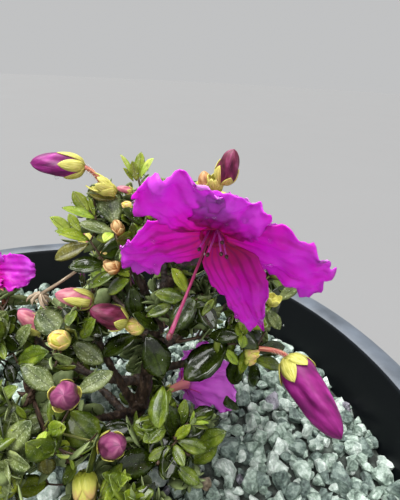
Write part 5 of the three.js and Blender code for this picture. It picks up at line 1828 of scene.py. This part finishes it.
def make_stage():
    """A plain pale floor, soft overcast light from above, and the camera at the photograph's angle."""
    bpy.ops.object.select_all(action="DESELECT")
    bpy.ops.mesh.primitive_circle_add(vertices=64, radius=12, fill_type="NGON", location=(0, 0, -0.0005))
    floor = bpy.context.object
    floor.name = "floor"
    tint = (*bpy.context.scene.rhodo_colours.floor, 1)
    # Matt paper or plaster, nearly even
    floor.data.materials.append(grainy(
        "pale matt floor", [(0.0, tint), (1.0, "#7c7c7c")], 500, 5, 0.1, Roughness=0.9))
    world = bpy.data.worlds.new("overcast")
    world.use_nodes = True
    background = world.node_tree.nodes["Background"].inputs
    background["Color"].default_value = linear("#f2f3f4")
    background["Strength"].default_value = 0.6
    bpy.context.scene.world = world
    bpy.context.scene.view_settings.view_transform = "Standard"
    sky = add_light("SUN", "bright_sky", (-0.5, 0.2, 1.5), Vector((0.3, -0.05, -1)), 6.2)
    sky.angle = math.radians(64)
    place = Vector((0.4, -1.8, 1.6))
    fill = add_light("AREA", "front_fill", place, Vector((0, 0, 0.25)) - place, 19)
    fill.size = 1.4
    add_camera()


# Operators, panel and registration

class RHODO_OT_stage(bpy.types.Operator):
    """Set the floor, the lights and the camera"""
    bl_idname = "rhodo.stage"
    bl_label = "Stage"
    bl_options = {"REGISTER", "UNDO"}

    def execute(self, context):
        make_stage()
        return {"FINISHED"}


class RHODO_OT_pot(bpy.types.Operator):
    """Build the black nursery pot and dress the potting mix in it"""
    bl_idname = "rhodo.pot"
    bl_label = "Pot and mix"
    bl_options = {"REGISTER", "UNDO"}

    def execute(self, context):
        make_pot()
        dress_mix()
        return {"FINISHED"}


class RHODO_OT_grit(bpy.types.Operator):
    """Lay the loose stones and the bed under them"""
    bl_idname = "rhodo.grit"
    bl_label = "Grit"
    bl_options = {"REGISTER", "UNDO"}

    def execute(self, context):
        make_grit()
        return {"FINISHED"}


class RHODO_OT_bark(bpy.types.Operator):
    """Build the stem and the boughs as one skin of bark"""
    bl_idname = "rhodo.bark"
    bl_label = "Stem and boughs"
    bl_options = {"REGISTER", "UNDO"}

    def execute(self, context):
        make_bark()
        return {"FINISHED"}


class RHODO_OT_foliage(bpy.types.Operator):
    """Grow the twigs and the leaves"""
    bl_idname = "rhodo.foliage"
    bl_label = "Twigs and leaves"
    bl_options = {"REGISTER", "UNDO"}

    def execute(self, context):
        make_foliage()
        return {"FINISHED"}


class RHODO_OT_flowers(bpy.types.Operator):
    """Build the open flowers with their stamens and styles"""
    bl_idname = "rhodo.flowers"
    bl_label = "Open flowers"
    bl_options = {"REGISTER", "UNDO"}

    def execute(self, context):
        make_corollas()
        make_stamens()
        return {"FINISHED"}


class RHODO_OT_buds(bpy.types.Operator):
    """Build the closed buds, their sepals and the stalks"""
    bl_idname = "rhodo.buds"
    bl_label = "Buds and stalks"
    bl_options = {"REGISTER", "UNDO"}

    def execute(self, context):
        make_buds()
        return {"FINISHED"}


class RHODO_OT_dead_parts(bpy.types.Operator):
    """Build the withered stalk with its seed head, and the old husk"""
    bl_idname = "rhodo.dead_parts"
    bl_label = "Withered parts"
    bl_options = {"REGISTER", "UNDO"}

    def execute(self, context):
        make_dead_parts()
        return {"FINISHED"}


class RHODO_OT_drops(bpy.types.Operator):
    """Put rain drops on petals, leaves and buds"""
    bl_idname = "rhodo.drops"
    bl_label = "Rain drops"
    bl_options = {"REGISTER", "UNDO"}

    def execute(self, context):
        make_drops()
        return {"FINISHED"}


STEPS = (
    RHODO_OT_stage, RHODO_OT_pot, RHODO_OT_grit, RHODO_OT_bark, RHODO_OT_foliage, RHODO_OT_flowers,
    RHODO_OT_buds, RHODO_OT_dead_parts, RHODO_OT_drops,
)


class RHODO_PT_panel(bpy.types.Panel):
    """The plant's sizes, colours and building steps."""
    bl_idname = "RHODO_PT_panel"
    bl_label = "Potted rhododendron"
    bl_space_type = "VIEW_3D"
    bl_region_type = "UI"
    bl_category = "Rhododendron"

    def draw(self, context):
        for group in (context.scene.rhodo_sizes, context.scene.rhodo_colours):
            box = self.layout.box()
            for name in group.__annotations__:
                box.prop(group, name)
        for step in STEPS:
            self.layout.operator(step.bl_idname)


CLASSES = (RHODO_PG_sizes, RHODO_PG_colours, *STEPS, RHODO_PT_panel)


def register():
    for kind in CLASSES:
        bpy.utils.register_class(kind)
    bpy.types.Scene.rhodo_sizes = bpy.props.PointerProperty(type=RHODO_PG_sizes)
    bpy.types.Scene.rhodo_colours = bpy.props.PointerProperty(type=RHODO_PG_colours)


def unregister():
    del bpy.types.Scene.rhodo_colours
    del bpy.types.Scene.rhodo_sizes
    for kind in reversed(CLASSES):
        bpy.utils.unregister_class(kind)


def main():
    register()
    bpy.ops.rhodo.stage()
    bpy.ops.rhodo.pot()
    bpy.ops.rhodo.grit()
    bpy.ops.rhodo.bark()
    bpy.ops.rhodo.foliage()
    bpy.ops.rhodo.flowers()
    bpy.ops.rhodo.buds()
    bpy.ops.rhodo.dead_parts()
    bpy.ops.rhodo.drops()


if __name__ == "__main__":
    main()
